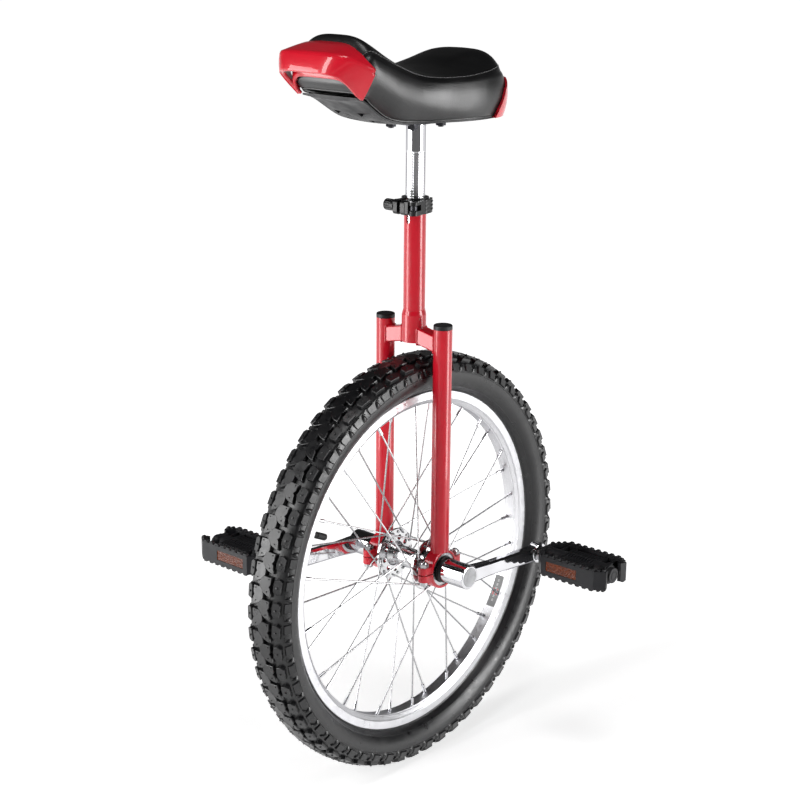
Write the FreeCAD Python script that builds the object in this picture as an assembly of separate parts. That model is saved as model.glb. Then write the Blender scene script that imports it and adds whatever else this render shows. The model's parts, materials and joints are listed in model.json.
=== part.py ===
"""Unicycle with a 20 inch wheel, built as separate pieces that are fitted together.

Row frame: +X is forwards, +Y is the rider's left, +Z is up. The origin is on the ground, straight below the
middle of the hub. Lengths are in millimetres and angles in degrees.
"""

import FreeCAD, Part
import math
import os

# ---- driving dimensions ------------------------------------------------------------------------------

WHEEL_R = 254.0  # outside of the tread, and so the height of the axle
TYRE_HALF_WIDTH = 27.6
RIM_R = 208.0  # edge of the rim flange
RIM_HALF_WIDTH = 12.8
SPOKE_COUNT = 36
CROSS_ANGLE = 60.0  # hub hole to rim hole, three-cross lacing
SPOKE_R = 1.0

LEG_Y = 43.5  # leg axis and bearing centre, off the middle plane
LEG_R = 11.0
LEG_TOP_Z = 545.0
SEAT_TUBE_R = 12.7
SEAT_TUBE_BORE_R = 11.175
SEAT_TUBE_Z = (524.0, 690.0)
POST_R = 11.1
POST_Z = (583.0, 775.0)

CRANK_LENGTH = 127.0
CRANK_ANGLE = -2.0  # the left crank points backwards and droops by this much
PEDAL_Y = (105.0, 203.0)
PEDAL_HALF_DEPTH = 30.0
PEDAL_HALF_HEIGHT = 11.5
TOOTH_HEIGHT = 2.2

TOUCH_GAP = 0.3  # between curved faces of different bodies or different makes
RUN_GAP = 0.05  # radial clearance of a running fit

PARTS = "parts"


# ---- helpers -----------------------------------------------------------------------------------------


def vec(x, y, z):
    return FreeCAD.Vector(x, y, z)


UP = vec(0, 0, 1)
LEFT = vec(0, 1, 0)
HUB = vec(0, 0, WHEEL_R)


def save(name, shape):
    """Writes one node, as a solid or as a group of separate solids."""
    solids = shape.Solids
    whole = solids[0] if len(solids) == 1 else Part.makeCompound(solids)
    whole.exportStep(os.path.join(PARTS, name + ".step"))
    state = "ok" if all(s.isValid() and s.Volume > 0 for s in solids) else "BAD"
    print(f"{name:24s} {len(solids):3d} solids {whole.Volume / 1000:9.2f} cm3 {state}")


def rod(radius, start, end):
    along = end.sub(start)
    return Part.makeCylinder(radius, along.Length, start, along)


def tube(outer, inner, start, end):
    return rod(outer, start, end).cut(rod(inner, start, end))


def cone(r1, r2, start, end):
    along = end.sub(start)
    return Part.makeCone(r1, r2, along.Length, start, along)


def box(low, high):
    size = high.sub(low)
    return Part.makeBox(size.x, size.y, size.z, low)


def fused(shapes):
    shapes = list(shapes)
    return shapes[0].multiFuse(shapes[1:]).removeSplitter() if len(shapes) > 1 else shapes[0]


def mirrored(shape):
    """The same piece on the rider's other side."""
    return shape.mirror(vec(0, 0, 0), LEFT)


def turned(shape, angle, centre=HUB, axis=LEFT):
    copy = shape.copy()
    copy.rotate(centre, axis, angle)
    return copy


def moved(shape, offset):
    copy = shape.copy()
    copy.translate(offset)
    return copy


def group(shapes):
    return Part.makeCompound([s for shape in shapes for s in shape.Solids])


def axle_point(y, x=0.0, z=0.0):
    """A point given from the axle: y along it, x and z off it."""
    return vec(x, y, WHEEL_R + z)


def axle_rod(radius, y0, y1):
    return rod(radius, axle_point(y0), axle_point(y1))


def axle_ring(outer, inner, y0, y1):
    return tube(outer, inner, axle_point(y0), axle_point(y1))


def prism(points, direction):
    """A straight prism from a closed outline."""
    return Part.Face(Part.makePolygon(points + points[:1])).extrude(direction)


def wheel_wire(edges):
    """A closed wire above the hub from lines and arcs, each a list of (y, radius) points."""
    made = []
    for points in edges:
        corners = [vec(0, y, WHEEL_R + r) for y, r in points]
        if len(corners) == 3:
            made.append(Part.Arc(*corners).toShape())
        else:
            made.append(Part.makeLine(*corners))
    return Part.Wire(Part.__sortEdges__(made))


def spun(face):
    """A ring about the axle from a section above the hub."""
    return face.revolve(HUB, LEFT, 360)


def polygon_ring(points):
    """A ring about the axle from (y, radius) corners."""
    edges = [[a, b] for a, b in zip(points, points[1:] + points[:1])]
    return spun(Part.Face(wheel_wire(edges)))


# ---- tyre, tube and rim ------------------------------------------------------------------------------

SIDEWALL_CENTRE = (5.0, 231.5)  # y and radius of the middle of the round sidewall
SIDEWALL_R = TYRE_HALF_WIDTH - SIDEWALL_CENTRE[0]
SHOULDER_ANGLE = 36.0
CASING = 2.8
CROWN_THICKNESS = 6.5
BEAD_BASE_R = 201.5
BEAD_OUTER_Y = 10.6
BED_R = 194.2  # outside of the rim's floor, where the nipple heads sit
BED_INNER_R = 192.2
WELL_HALF_WIDTH = 7.2
FLANGE_INNER_Y = 10.8
TUBE_BASE_R = 198.0


def sidewall_point(radius, angle):
    y, r = SIDEWALL_CENTRE
    return (
        y + radius * math.cos(math.radians(angle)),
        r + radius * math.sin(math.radians(angle)),
    )


def sidewall_radius_at(y, radius):
    """Where the lower part of a sidewall circle of this radius crosses a given y."""
    return SIDEWALL_CENTRE[1] - math.sqrt(radius**2 - (y - SIDEWALL_CENTRE[0]) ** 2)


def crown_edges(radius, top, foot_y):
    """Sidewall, crown and other sidewall as three arcs, from foot to foot."""
    foot = (foot_y, sidewall_radius_at(foot_y, radius))
    side = sidewall_point(radius, 0)
    shoulder = sidewall_point(radius, SHOULDER_ANGLE)

    def other(p):
        return (-p[0], p[1])

    return [
        [foot, side, shoulder],
        [shoulder, (0, top), other(shoulder)],
        [other(shoulder), other(side), other(foot)],
    ], foot


def bead_edges(outer_foot, inner_foot, sign):
    outer, inner = (sign * outer_foot[0], outer_foot[1]), (sign * inner_foot[0], inner_foot[1])
    toe, heel = (inner[0], BEAD_BASE_R), (outer[0], BEAD_BASE_R)
    return [[outer, heel], [heel, toe], [toe, inner]]


def tyre():
    outside, outer_foot = crown_edges(SIDEWALL_R, WHEEL_R, BEAD_OUTER_Y)
    inside, inner_foot = crown_edges(SIDEWALL_R - CASING, WHEEL_R - CROWN_THICKNESS, BEAD_OUTER_Y - 3.2)
    beads = bead_edges(outer_foot, inner_foot, 1) + bead_edges(outer_foot, inner_foot, -1)
    return spun(Part.Face(wheel_wire(outside + inside + beads)))


def cavity_wire(inset, base_r):
    """The air space inside the tyre, drawn in by inset, closed by a flat floor at base_r."""
    foot_y = 6.8 - inset
    edges, foot = crown_edges(
        SIDEWALL_R - CASING - inset, WHEEL_R - CROWN_THICKNESS - inset, foot_y
    )
    low, other_low = (foot_y, base_r), (-foot_y, base_r)
    edges += [[foot, low], [low, other_low], [other_low, (-foot[0], foot[1])]]
    return wheel_wire(edges)


def inner_tube():
    wall = 1.2
    outer = spun(Part.Face(cavity_wire(TOUCH_GAP, TUBE_BASE_R)))
    air = spun(Part.Face(cavity_wire(TOUCH_GAP + wall, TUBE_BASE_R + wall)))
    return outer.cut(air)


def rim():
    half = [
        (WELL_HALF_WIDTH, BED_R),
        (WELL_HALF_WIDTH, BEAD_BASE_R),
        (FLANGE_INNER_Y, BEAD_BASE_R),
        (FLANGE_INNER_Y, RIM_R - 1.2),
        (FLANGE_INNER_Y + 0.6, RIM_R),
        (RIM_HALF_WIDTH - 0.4, RIM_R),
        (RIM_HALF_WIDTH, RIM_R - 0.5),
        (RIM_HALF_WIDTH, 198.6),
        (RIM_HALF_WIDTH - 0.9, 197.4),
        (RIM_HALF_WIDTH - 1.6, 197.4),
        (8.6, 193.4),
        (7.6, 193.4),
        (6.8, BED_INNER_R),
    ]
    other = [(-y, r) for y, r in reversed(half)]
    ring = polygon_ring(half + other)
    hole = rod(2.4, axle_point(NIPPLE_Y, z=BED_INNER_R - 5), axle_point(NIPPLE_Y, z=BED_R + 2))
    angles = [k * 720 / SPOKE_COUNT for k in range(SPOKE_COUNT // 2)]
    holes = [turned(hole, a) for a in angles]
    holes += [turned(mirrored(hole), a + 360 / SPOKE_COUNT) for a in angles]
    valve_hole = turned(
        rod(VALVE_R + 0.3, axle_point(0, z=BED_INNER_R - 5), axle_point(0, z=BED_R + 2)), VALVE_ANGLE
    )
    return ring.cut(Part.makeCompound(holes + [valve_hole]))


def rim_tape():
    strip = axle_ring(197.6, 197.0, -6.8, 6.8)
    hole = turned(rod(VALVE_R + 0.3, axle_point(0, z=190), axle_point(0, z=200)), VALVE_ANGLE)
    return strip.cut(hole)


# ---- valve -------------------------------------------------------------------------------------------

VALVE_R = 3.2
VALVE_ANGLE = 65.0  # from straight up towards +X, between two spokes


def valve_stem():
    stem = rod(VALVE_R, axle_point(0, z=TUBE_BASE_R), axle_point(0, z=176))
    neck = rod(2.2, axle_point(0, z=176), axle_point(0, z=168))
    return turned(fused([stem, neck]), VALVE_ANGLE)


def valve_cap():
    body = rod(4.0, axle_point(0, z=181), axle_point(0, z=165.5))
    cap = body.makeFillet(1.0, [e for e in body.Edges if e.BoundBox.ZMax < WHEEL_R + 170])
    bore = fused(
        [
            rod(VALVE_R + RUN_GAP, axle_point(0, z=182), axle_point(0, z=176)),
            rod(2.2 + RUN_GAP, axle_point(0, z=177), axle_point(0, z=168)),
        ]
    )
    grooves = [
        turned(
            box(vec(-0.5, 3.6, WHEEL_R + 169), vec(0.5, 4.4, WHEEL_R + 178)), k * 30, vec(0, 0, 0), UP
        )
        for k in range(12)
    ]
    return turned(cap.cut(Part.makeCompound([bore] + grooves)), VALVE_ANGLE)


# ---- hub and spokes ----------------------------------------------------------------------------------

FLANGE_Y = 27.0
FLANGE_R = 31.0
FLANGE_HALF = 1.6
SPOKE_HOLE_PITCH_R = 26.8
BARREL_R = 12.0
AXLE_R = 9.5
NIPPLE_LENGTH = 13.0
NIPPLE_R = 2.0
HEAD_R = 1.8
FLANGE_SKIP = 1.2  # extra reach of a spoke that leaves from the outer face and must cross the flange edge
NIPPLE_Y = 3.6  # left spokes end this far left of the middle plane, right ones to the right


def flange(phase):
    """The left flange, with spoke holes and lightening holes."""
    y0, y1 = FLANGE_Y - FLANGE_HALF, FLANGE_Y + FLANGE_HALF
    plate = axle_rod(FLANGE_R, y0, y1)
    plate = plate.makeChamfer(0.6, [e for e in plate.Edges if e.Curve.TypeId == "Part::GeomCircle"])
    ends = [axle_point(y, z=SPOKE_HOLE_PITCH_R) for y in (y0 - 1, y1 + 1)]
    spoke_hole = rod(SPOKE_R + 0.25, *ends)
    light_hole = rod(3.4, axle_point(y0 - 1, z=20.0), axle_point(y1 + 1, z=20.0))
    per_side = SPOKE_COUNT // 2
    cuts = [turned(spoke_hole, phase + k * 360 / per_side) for k in range(per_side)]
    cuts += [turned(light_hole, phase + 10 + k * 40) for k in range(9)]
    return plate.cut(Part.makeCompound(cuts))


def hub_shell():
    y = FLANGE_Y - FLANGE_HALF
    barrel = polygon_ring(
        [(-y, AXLE_R), (-y, 15.5), (-y + 6, BARREL_R), (y - 6, BARREL_R), (y, 15.5), (y, AXLE_R)]
    )
    nose_y = FLANGE_Y + FLANGE_HALF + 3.0
    collar = polygon_ring([(y, AXLE_R), (y, 14.5), (nose_y, 13.0), (nose_y, AXLE_R)])
    bore = axle_rod(AXLE_R, -60, 60)
    shell = fused([barrel, collar, mirrored(collar), flange(0).cut(bore), mirrored(flange(10)).cut(bore)])
    return shell


def spoke_bend_y(head_outside):
    """Where a spoke leaves the flange: on the inner face, or far enough out to clear the flange's edge."""
    reach = FLANGE_HALF + SPOKE_R + 0.1
    return FLANGE_Y - reach if head_outside else FLANGE_Y + reach + FLANGE_SKIP


def spoke(hub_angle, rim_angle, head_outside):
    """One spoke on the left flange: head, bend through the flange, and a straight run into its nipple."""
    side = 1 if head_outside else -1
    head_y = FLANGE_Y + side * (FLANGE_HALF + 0.1)
    bend = axle_point(spoke_bend_y(head_outside), z=SPOKE_HOLE_PITCH_R)
    seat = axle_point(head_y, z=SPOKE_HOLE_PITCH_R)
    through = rod(SPOKE_R, bend, seat)
    head = rod(HEAD_R, seat, seat + vec(0, side, 0))
    elbow = Part.makeSphere(SPOKE_R, bend)
    foot = turned(fused([through, head, elbow]), hub_angle)
    start = turned(Part.Vertex(bend), hub_angle).Point
    end = turned(Part.Vertex(axle_point(NIPPLE_Y, z=BED_R)), rim_angle).Point
    return fused([foot, rod(SPOKE_R, start, end)])


def nipple_on(start_y, hub_angle, rim_angle):
    """A nipple in the rim floor, in line with its spoke."""
    bend = turned(Part.Vertex(axle_point(start_y, z=SPOKE_HOLE_PITCH_R)), hub_angle).Point
    seat = turned(Part.Vertex(axle_point(NIPPLE_Y, z=BED_R)), rim_angle).Point
    out = seat.sub(bend).normalize()
    low = seat.sub(out * NIPPLE_LENGTH)
    neck = rod(NIPPLE_R, low, seat.add(out * 1.2))
    radial = turned(Part.Vertex(axle_point(0, z=1)), rim_angle).Point.sub(HUB)
    head_base = seat.add(radial * 0.35)
    head = cone(2.9, 2.1, head_base, head_base.add(radial * 1.6))
    bore = rod(SPOKE_R + RUN_GAP, low.sub(out), seat.add(out * 0.1))
    return fused([neck, head]).cut(bore)


def lacing():
    """Every spoke on the left flange as (hub angle, rim angle, head outside)."""
    per_way = SPOKE_COUNT // 4
    step = 360 / per_way
    pulling = [(k * step, k * step + CROSS_ANGLE, True) for k in range(per_way)]
    trailing = [(k * step + step / 2, k * step + step / 2 - CROSS_ANGLE, False) for k in range(per_way)]
    return pulling + trailing


def spokes_and_nipples():
    """Left spokes, right spokes and all nipples. The right flange is the left one mirrored, one hole on."""
    left, right, nipples = [], [], []
    templates = {}
    for hub_angle, rim_angle, outside in lacing():
        if outside not in templates:
            spread = rim_angle - hub_angle
            nipple = nipple_on(spoke_bend_y(outside), 0, spread)
            templates[outside] = (spoke(0, spread, outside), nipple)
        wire, nut = templates[outside]
        other_angle = hub_angle + 360 / SPOKE_COUNT
        left.append(turned(wire, hub_angle))
        nipples.append(turned(nut, hub_angle))
        right.append(turned(mirrored(wire), other_angle))
        nipples.append(turned(mirrored(nut), other_angle))
    return left, right, nipples


# ---- axle and bearings -------------------------------------------------------------------------------

BEARING_HALF = 6.0
BEARING_R = 20.0
RACE_BORE_R = 8.5
INNER_RACE_R = 12.2
OUTER_RACE_R = 16.4
BALL_PITCH_R = 14.3
BALL_R = 3.3
SPACER_END_Y = 56.0
TAPER_END_Y = 82.0
CRANK_OUT_Y = 90.0


def square_end(grow=0.0):
    """The tapered square on the left end of the axle."""

    def section(y, half):
        corners = [(-half, -half), (half, -half), (half, half), (-half, half)]
        points = [axle_point(y, x, z) for x, z in corners]
        return Part.makePolygon(points + points[:1])

    return Part.makeLoft([section(SPACER_END_Y, 5.0 + grow), section(TAPER_END_Y, 4.3 + grow)], True, True)


def axle():
    middle = axle_rod(AXLE_R, -(LEG_Y - BEARING_HALF), LEG_Y - BEARING_HALF)
    journal = axle_rod(RACE_BORE_R, LEG_Y - BEARING_HALF, SPACER_END_Y)
    thread = axle_rod(3.3, TAPER_END_Y - 22, TAPER_END_Y + 1)
    end = fused([journal, square_end()]).cut(thread)
    return fused([middle, end, mirrored(end)])


def bearing():
    """Outer race, inner race, balls and seals of the left bearing."""
    y0, y1 = LEG_Y - BEARING_HALF, LEG_Y + BEARING_HALF
    track = Part.makeTorus(BALL_PITCH_R, BALL_R + RUN_GAP, axle_point(LEG_Y), LEFT)
    outer = axle_ring(BEARING_R, OUTER_RACE_R, y0, y1).cut(track)
    inner = axle_ring(INNER_RACE_R, RACE_BORE_R, y0, y1).cut(track)
    ball = Part.makeSphere(BALL_R, axle_point(LEG_Y, z=BALL_PITCH_R))
    balls = [turned(ball, k * 45) for k in range(8)]
    seals = [
        axle_ring(OUTER_RACE_R, INNER_RACE_R + TOUCH_GAP, y1 - 1.2, y1 - 0.2),
        axle_ring(OUTER_RACE_R, INNER_RACE_R + TOUCH_GAP, y0 + 0.2, y0 + 1.2),
    ]
    return outer, inner, balls, seals


def dust_ring():
    """The black spacer that turns with the axle, between bearing and crank."""
    y0 = LEG_Y + BEARING_HALF
    return polygon_ring(
        [(y0, RACE_BORE_R), (y0, 11.6), (y0 + 2.2, 11.6), (y0 + 2.2, 15.4), (SPACER_END_Y - 1.2, 15.4),
         (SPACER_END_Y, 14.2), (SPACER_END_Y, RACE_BORE_R)]
    )


# ---- frame -------------------------------------------------------------------------------------------

HOLDER_R = 23.4
HOLDER_HALF = 7.5
EAR_X = 28.5
EAR_R = 6.6
EAR_HEIGHT = 8.0
SPLIT_GAP = 0.8  # between the two halves of a bearing holder
BAR_HALF = 9.3
BAR_HALF_DEPTH = 8.5
BAR_DROP_ANGLE = 12.0
BAR_Z = 532.0  # middle of a crown bar, on the seat tube axis
SLEEVE_R = 14.3
SLEEVE_TOP_Z = 561.0


def bearing_half(up):
    """One half of the left bearing holder, with a bolt ear in front and behind."""
    sign = 1 if up else -1
    y0, y1 = LEG_Y - HOLDER_HALF, LEG_Y + HOLDER_HALF
    ring = axle_rod(HOLDER_R, y0, y1)
    ring = ring.makeFillet(1.5, [e for e in ring.Edges if e.Curve.TypeId == "Part::GeomCircle"])
    ears = []
    for x in (-EAR_X, EAR_X):
        low, high = sorted((sign * SPLIT_GAP, sign * (SPLIT_GAP + EAR_HEIGHT)))
        ears.append(rod(EAR_R, axle_point(LEG_Y, x, low), axle_point(LEG_Y, x, high)))
        x_in = 0.6 * x
        ears.append(
            box(
                axle_point(LEG_Y - EAR_R, min(x, x_in), low),
                axle_point(LEG_Y + EAR_R, max(x, x_in), high),
            )
        )
    body = fused([ring] + ears)
    z0, z1 = sorted((sign * SPLIT_GAP, sign * 60))
    keep = box(axle_point(y0 - 5, -60, z0), axle_point(y1 + 5, 60, z1))
    lip_y = y0 - 1
    bore = fused([axle_rod(BEARING_R, y0 + 1.5, y1 + 1), axle_rod(OUTER_RACE_R + 1.2, lip_y, y0 + 2)])
    bolts = [rod(3.1, axle_point(LEG_Y, x, -20), axle_point(LEG_Y, x, 20)) for x in (-EAR_X, EAR_X)]
    return body.common(keep).cut(Part.makeCompound([bore] + bolts))


def holder_bolts():
    """Socket screws from below and dome nuts on top, for both holders."""
    made = []
    for x in (-EAR_X, EAR_X):
        low, high = -(SPLIT_GAP + EAR_HEIGHT), SPLIT_GAP + EAR_HEIGHT
        shank = rod(2.95, axle_point(LEG_Y, x, low), axle_point(LEG_Y, x, high + 3.0))
        head = rod(5.0, axle_point(LEG_Y, x, low - 5.0), axle_point(LEG_Y, x, low))
        head = head.makeFillet(0.8, [e for e in head.Edges if e.BoundBox.ZMax < WHEEL_R + low - 4])
        socket = prism(hexagon(2.5, axle_point(LEG_Y, x, low - 5.1)), vec(0, 0, 3))
        made.append(fused([shank, head]).cut(socket))
        nut = prism(hexagon(5.0, axle_point(LEG_Y, x, high)), vec(0, 0, 4.6))
        dome = Part.makeSphere(4.0, axle_point(LEG_Y, x, high + 4.0))
        bore = rod(2.95 + RUN_GAP, axle_point(LEG_Y, x, high), axle_point(LEG_Y, x, high + 3.4))
        made.append(fused([nut, dome]).cut(bore))
    return made + [mirrored(s) for s in made]


def hexagon(across_half, centre):
    radius = across_half / math.cos(math.radians(30))
    return [
        centre.add(vec(radius * math.cos(math.radians(a)), radius * math.sin(math.radians(a)), 0))
        for a in range(0, 360, 60)
    ]


def leg():
    pipe = tube(
        LEG_R, LEG_R - 1.6, axle_point(LEG_Y, z=10), vec(0, LEG_Y, LEG_TOP_Z)
    )
    return pipe.cut(axle_rod(HOLDER_R, LEG_Y - 20, LEG_Y + 20))


def leg_cap():
    top = rod(LEG_R, vec(0, LEG_Y, LEG_TOP_Z), vec(0, LEG_Y, LEG_TOP_Z + 5))
    top = top.makeFillet(1.2, [e for e in top.Edges if e.BoundBox.ZMin > LEG_TOP_Z + 3])
    plug = rod(LEG_R - 1.7, vec(0, LEG_Y, LEG_TOP_Z - 14), vec(0, LEG_Y, LEG_TOP_Z))
    return fused([top, plug])


def crown_bar():
    """The slanting square tube between the sleeve and the left leg."""
    outer = box(vec(-BAR_HALF_DEPTH, 0, -BAR_HALF), vec(BAR_HALF_DEPTH, 70, BAR_HALF))
    outer = outer.makeFillet(2.0, [e for e in outer.Edges if e.BoundBox.YLength > 60])
    inner = box(
        vec(-BAR_HALF_DEPTH + 2, -1, -BAR_HALF + 2), vec(BAR_HALF_DEPTH - 2, 71, BAR_HALF - 2)
    )
    bar = outer.cut(inner)
    bar.rotate(vec(0, 0, 0), vec(1, 0, 0), -BAR_DROP_ANGLE)
    bar.translate(vec(0, 0, BAR_Z + 2.5))
    ends = [
        rod(SLEEVE_R, vec(0, 0, 480), vec(0, 0, 580)),
        rod(LEG_R, vec(0, LEG_Y, 480), vec(0, LEG_Y, 580)),
        box(vec(-40, LEG_Y, 480), vec(40, 90, 580)),
    ]
    return bar.cut(fused(ends))


def seat_tube():
    z0, z1 = SEAT_TUBE_Z
    pipe = tube(SEAT_TUBE_R, SEAT_TUBE_BORE_R, vec(0, 0, z0), vec(0, 0, z1))
    slot_half, slot_foot = 2.2, 664.0
    slot = fused(
        [
            box(vec(0, -slot_half, slot_foot), vec(20, slot_half, z1 + 1)),
            rod(slot_half, vec(0, 0, slot_foot), vec(20, 0, slot_foot)),
        ]
    )
    return pipe.cut(slot)


def seat_tube_sleeve():
    z0 = SEAT_TUBE_Z[0]
    straight = tube(SLEEVE_R, SEAT_TUBE_R, vec(0, 0, z0), vec(0, 0, SLEEVE_TOP_Z - 5))
    taper = cone(SLEEVE_R, SEAT_TUBE_R + 0.3, vec(0, 0, SLEEVE_TOP_Z - 5), vec(0, 0, SLEEVE_TOP_Z))
    taper = taper.cut(rod(SEAT_TUBE_R, vec(0, 0, 550), vec(0, 0, 570)))
    vent = rod(1.6, vec(5, SEAT_TUBE_R + 0.1, 552), vec(6, 30, 552))
    return fused([straight, taper]).cut(vent)


# ---- seat clamp --------------------------------------------------------------------------------------

CLAMP_Z = (673.0, 691.5)
CLAMP_R = 15.6
SKEWER_X = 22.5
SKEWER_Z = 683.0
EAR_OUT_Y = 8.5
LEVER_PIN = (SKEWER_X, 17.0)
LEVER_GAP = 0.6
LEVER_Z = (SKEWER_Z - 8.5, SKEWER_Z + 7.0)
LEVER_R = (CLAMP_R + 0.8, CLAMP_R + 4.0)  # inside and outside of the curved handle
LEVER_TIP_ANGLE = 140
CAM_R = 5.5
CAM_PIN_R = 2.0
BOLT_R = 3.0


def seat_clamp_collar():
    z0, z1 = CLAMP_Z
    ring = rod(CLAMP_R, vec(0, 0, z0), vec(0, 0, z1))
    ears = box(vec(8, -EAR_OUT_Y, z0 + 1), vec(SKEWER_X + 6.5, EAR_OUT_Y, z1 - 1))
    ears = ears.makeFillet(4.0, [e for e in ears.Edges if e.BoundBox.YLength > 10 and e.BoundBox.XMin > 20])
    body = fused([ring, ears])
    lip = rod(SEAT_TUBE_R, vec(0, 0, z0 - 1), vec(0, 0, SEAT_TUBE_Z[1]))
    post_hole = rod(POST_R + TOUCH_GAP, vec(0, 0, z0), vec(0, 0, z1 + 1))
    slit = box(vec(0, -2.4, z0 - 1), vec(40, 2.4, z1 + 1))
    bolt = rod(3.2, vec(SKEWER_X, -20, SKEWER_Z), vec(SKEWER_X, 20, SKEWER_Z))
    return body.cut(Part.makeCompound([fused([lip, post_hole]), slit, bolt]))


def qr_skewer():
    """The draw bolt across the ears, with the eye that holds the lever's cam pin."""
    shank = rod(BOLT_R, vec(SKEWER_X, -21.0, SKEWER_Z), vec(SKEWER_X, LEVER_PIN[1] - 2.5, SKEWER_Z))
    eye = rod(4.2, vec(*LEVER_PIN, SKEWER_Z - 2.4), vec(*LEVER_PIN, SKEWER_Z + 2.4))
    pin_hole = rod(CAM_PIN_R + RUN_GAP, vec(*LEVER_PIN, SKEWER_Z - 10), vec(*LEVER_PIN, SKEWER_Z + 10))
    return fused([shank, eye]).cut(pin_hole)


def qr_nut():
    start, end = -EAR_OUT_Y - 1.8, -EAR_OUT_Y - 15.0
    body = rod(6.6, vec(SKEWER_X, start, SKEWER_Z), vec(SKEWER_X, end, SKEWER_Z))
    body = body.makeFillet(1.5, [e for e in body.Edges if e.BoundBox.YMax < end + 1])
    bore = rod(BOLT_R + RUN_GAP, vec(SKEWER_X, start + 1, SKEWER_Z), vec(SKEWER_X, -21.5, SKEWER_Z))
    notch = rod(1.0, vec(SKEWER_X + 7.1, start - 2.5, SKEWER_Z), vec(SKEWER_X + 7.1, end + 2.5, SKEWER_Z))
    notches = [turned(notch, k * 30, vec(SKEWER_X, 0, SKEWER_Z)) for k in range(12)]
    return body.cut(Part.makeCompound([bore] + notches))


def qr_washers():
    """A flat washer under the nut, and the cupped cam washer under the lever."""
    flat = tube(
        7.4, 3.2, vec(SKEWER_X, -EAR_OUT_Y - 1.5, SKEWER_Z), vec(SKEWER_X, -EAR_OUT_Y, SKEWER_Z)
    )
    cup = box(
        vec(SKEWER_X - 6, EAR_OUT_Y, SKEWER_Z - 6.5), vec(SKEWER_X + 6, LEVER_PIN[1] - 3.6, SKEWER_Z + 6.5)
    )
    seat = rod(CAM_R + LEVER_GAP, vec(*LEVER_PIN, SKEWER_Z - 10), vec(*LEVER_PIN, SKEWER_Z + 10))
    bolt = rod(3.2, vec(SKEWER_X, 5, SKEWER_Z), vec(SKEWER_X, 30, SKEWER_Z))
    return [flat, cup.cut(fused([seat, bolt]))]


def lever_arm():
    """The curved plate that lies round the collar, with a rolled tip."""
    z0, z1 = LEVER_Z
    inner_r, outer_r = LEVER_R
    sweep = tube(outer_r, inner_r, vec(0, 0, z0), vec(0, 0, z1))
    wedge = [vec(0, 0, z0 - 1)]
    for angle in (38, 70, 105, LEVER_TIP_ANGLE):
        a = math.radians(angle)
        wedge.append(vec(60 * math.cos(a), 60 * math.sin(a), z0 - 1))
    tip_r = (outer_r - inner_r) / 2
    tip = rod(tip_r, vec(inner_r + tip_r, 0, z0), vec(inner_r + tip_r, 0, z1))
    tip.rotate(vec(0, 0, 0), UP, LEVER_TIP_ANGLE)
    return [sweep.common(prism(wedge, vec(0, 0, 20))), tip]


def lever_pads():
    """Two columns of three raised grip pads on the outside of the handle."""
    outer_r = LEVER_R[1]
    pads = []
    for angle in (84, 116):
        for z in (SKEWER_Z - 4.3, SKEWER_Z, SKEWER_Z + 4.3):
            pad = box(vec(outer_r - 0.6, -2.6, z - 0.9), vec(outer_r + 0.7, 2.6, z + 0.9))
            pads.append(turned(pad, angle, vec(0, 0, 0), UP))
    return pads


def qr_lever():
    """The cam and its curved handle, closed against the left side of the collar."""
    z0, z1 = LEVER_Z
    inner_r, outer_r = LEVER_R
    x, y = LEVER_PIN
    cam = rod(CAM_R, vec(x, y, z0), vec(x, y, z1))
    neck = [(x, y + 5.4), (4.0, outer_r), (4.0, inner_r + 0.4), (12.0, y - 1.7), (x - 3.0, y - 1.7)]
    bridge = prism([vec(a, b, z0) for a, b in neck], vec(0, 0, z1 - z0))
    bolt_slot = box(vec(x - 8, y - 8, SKEWER_Z - 3.3), vec(x + 8, y + 8, SKEWER_Z + 3.3))
    collar_room = rod(inner_r, vec(0, 0, z0 - 1), vec(0, 0, z1 + 1))
    washer_room = box(vec(10, 0, z0 - 1), vec(30, y - 1.7, z1 + 1)).cut(cam)
    pin_hole = rod(CAM_PIN_R, vec(x, y, z0 - 1), vec(x, y, z1 + 1))
    body = fused([cam, bridge] + lever_arm())
    for room in (bolt_slot, collar_room, washer_room, pin_hole):
        body = body.cut(room)
    return fused([body] + lever_pads())


def qr_cam_pin():
    return rod(CAM_PIN_R, vec(*LEVER_PIN, LEVER_Z[0] + 1), vec(*LEVER_PIN, LEVER_Z[1] - 0.4))


# ---- cranks ------------------------------------------------------------------------------------------

BOSS_R = 14.5
BOSS_Y = (SPACER_END_Y, CRANK_OUT_Y)
EYE_R = 12.5
EYE_Y = (86.0, 98.0)
CAP_R = 11.6


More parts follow.
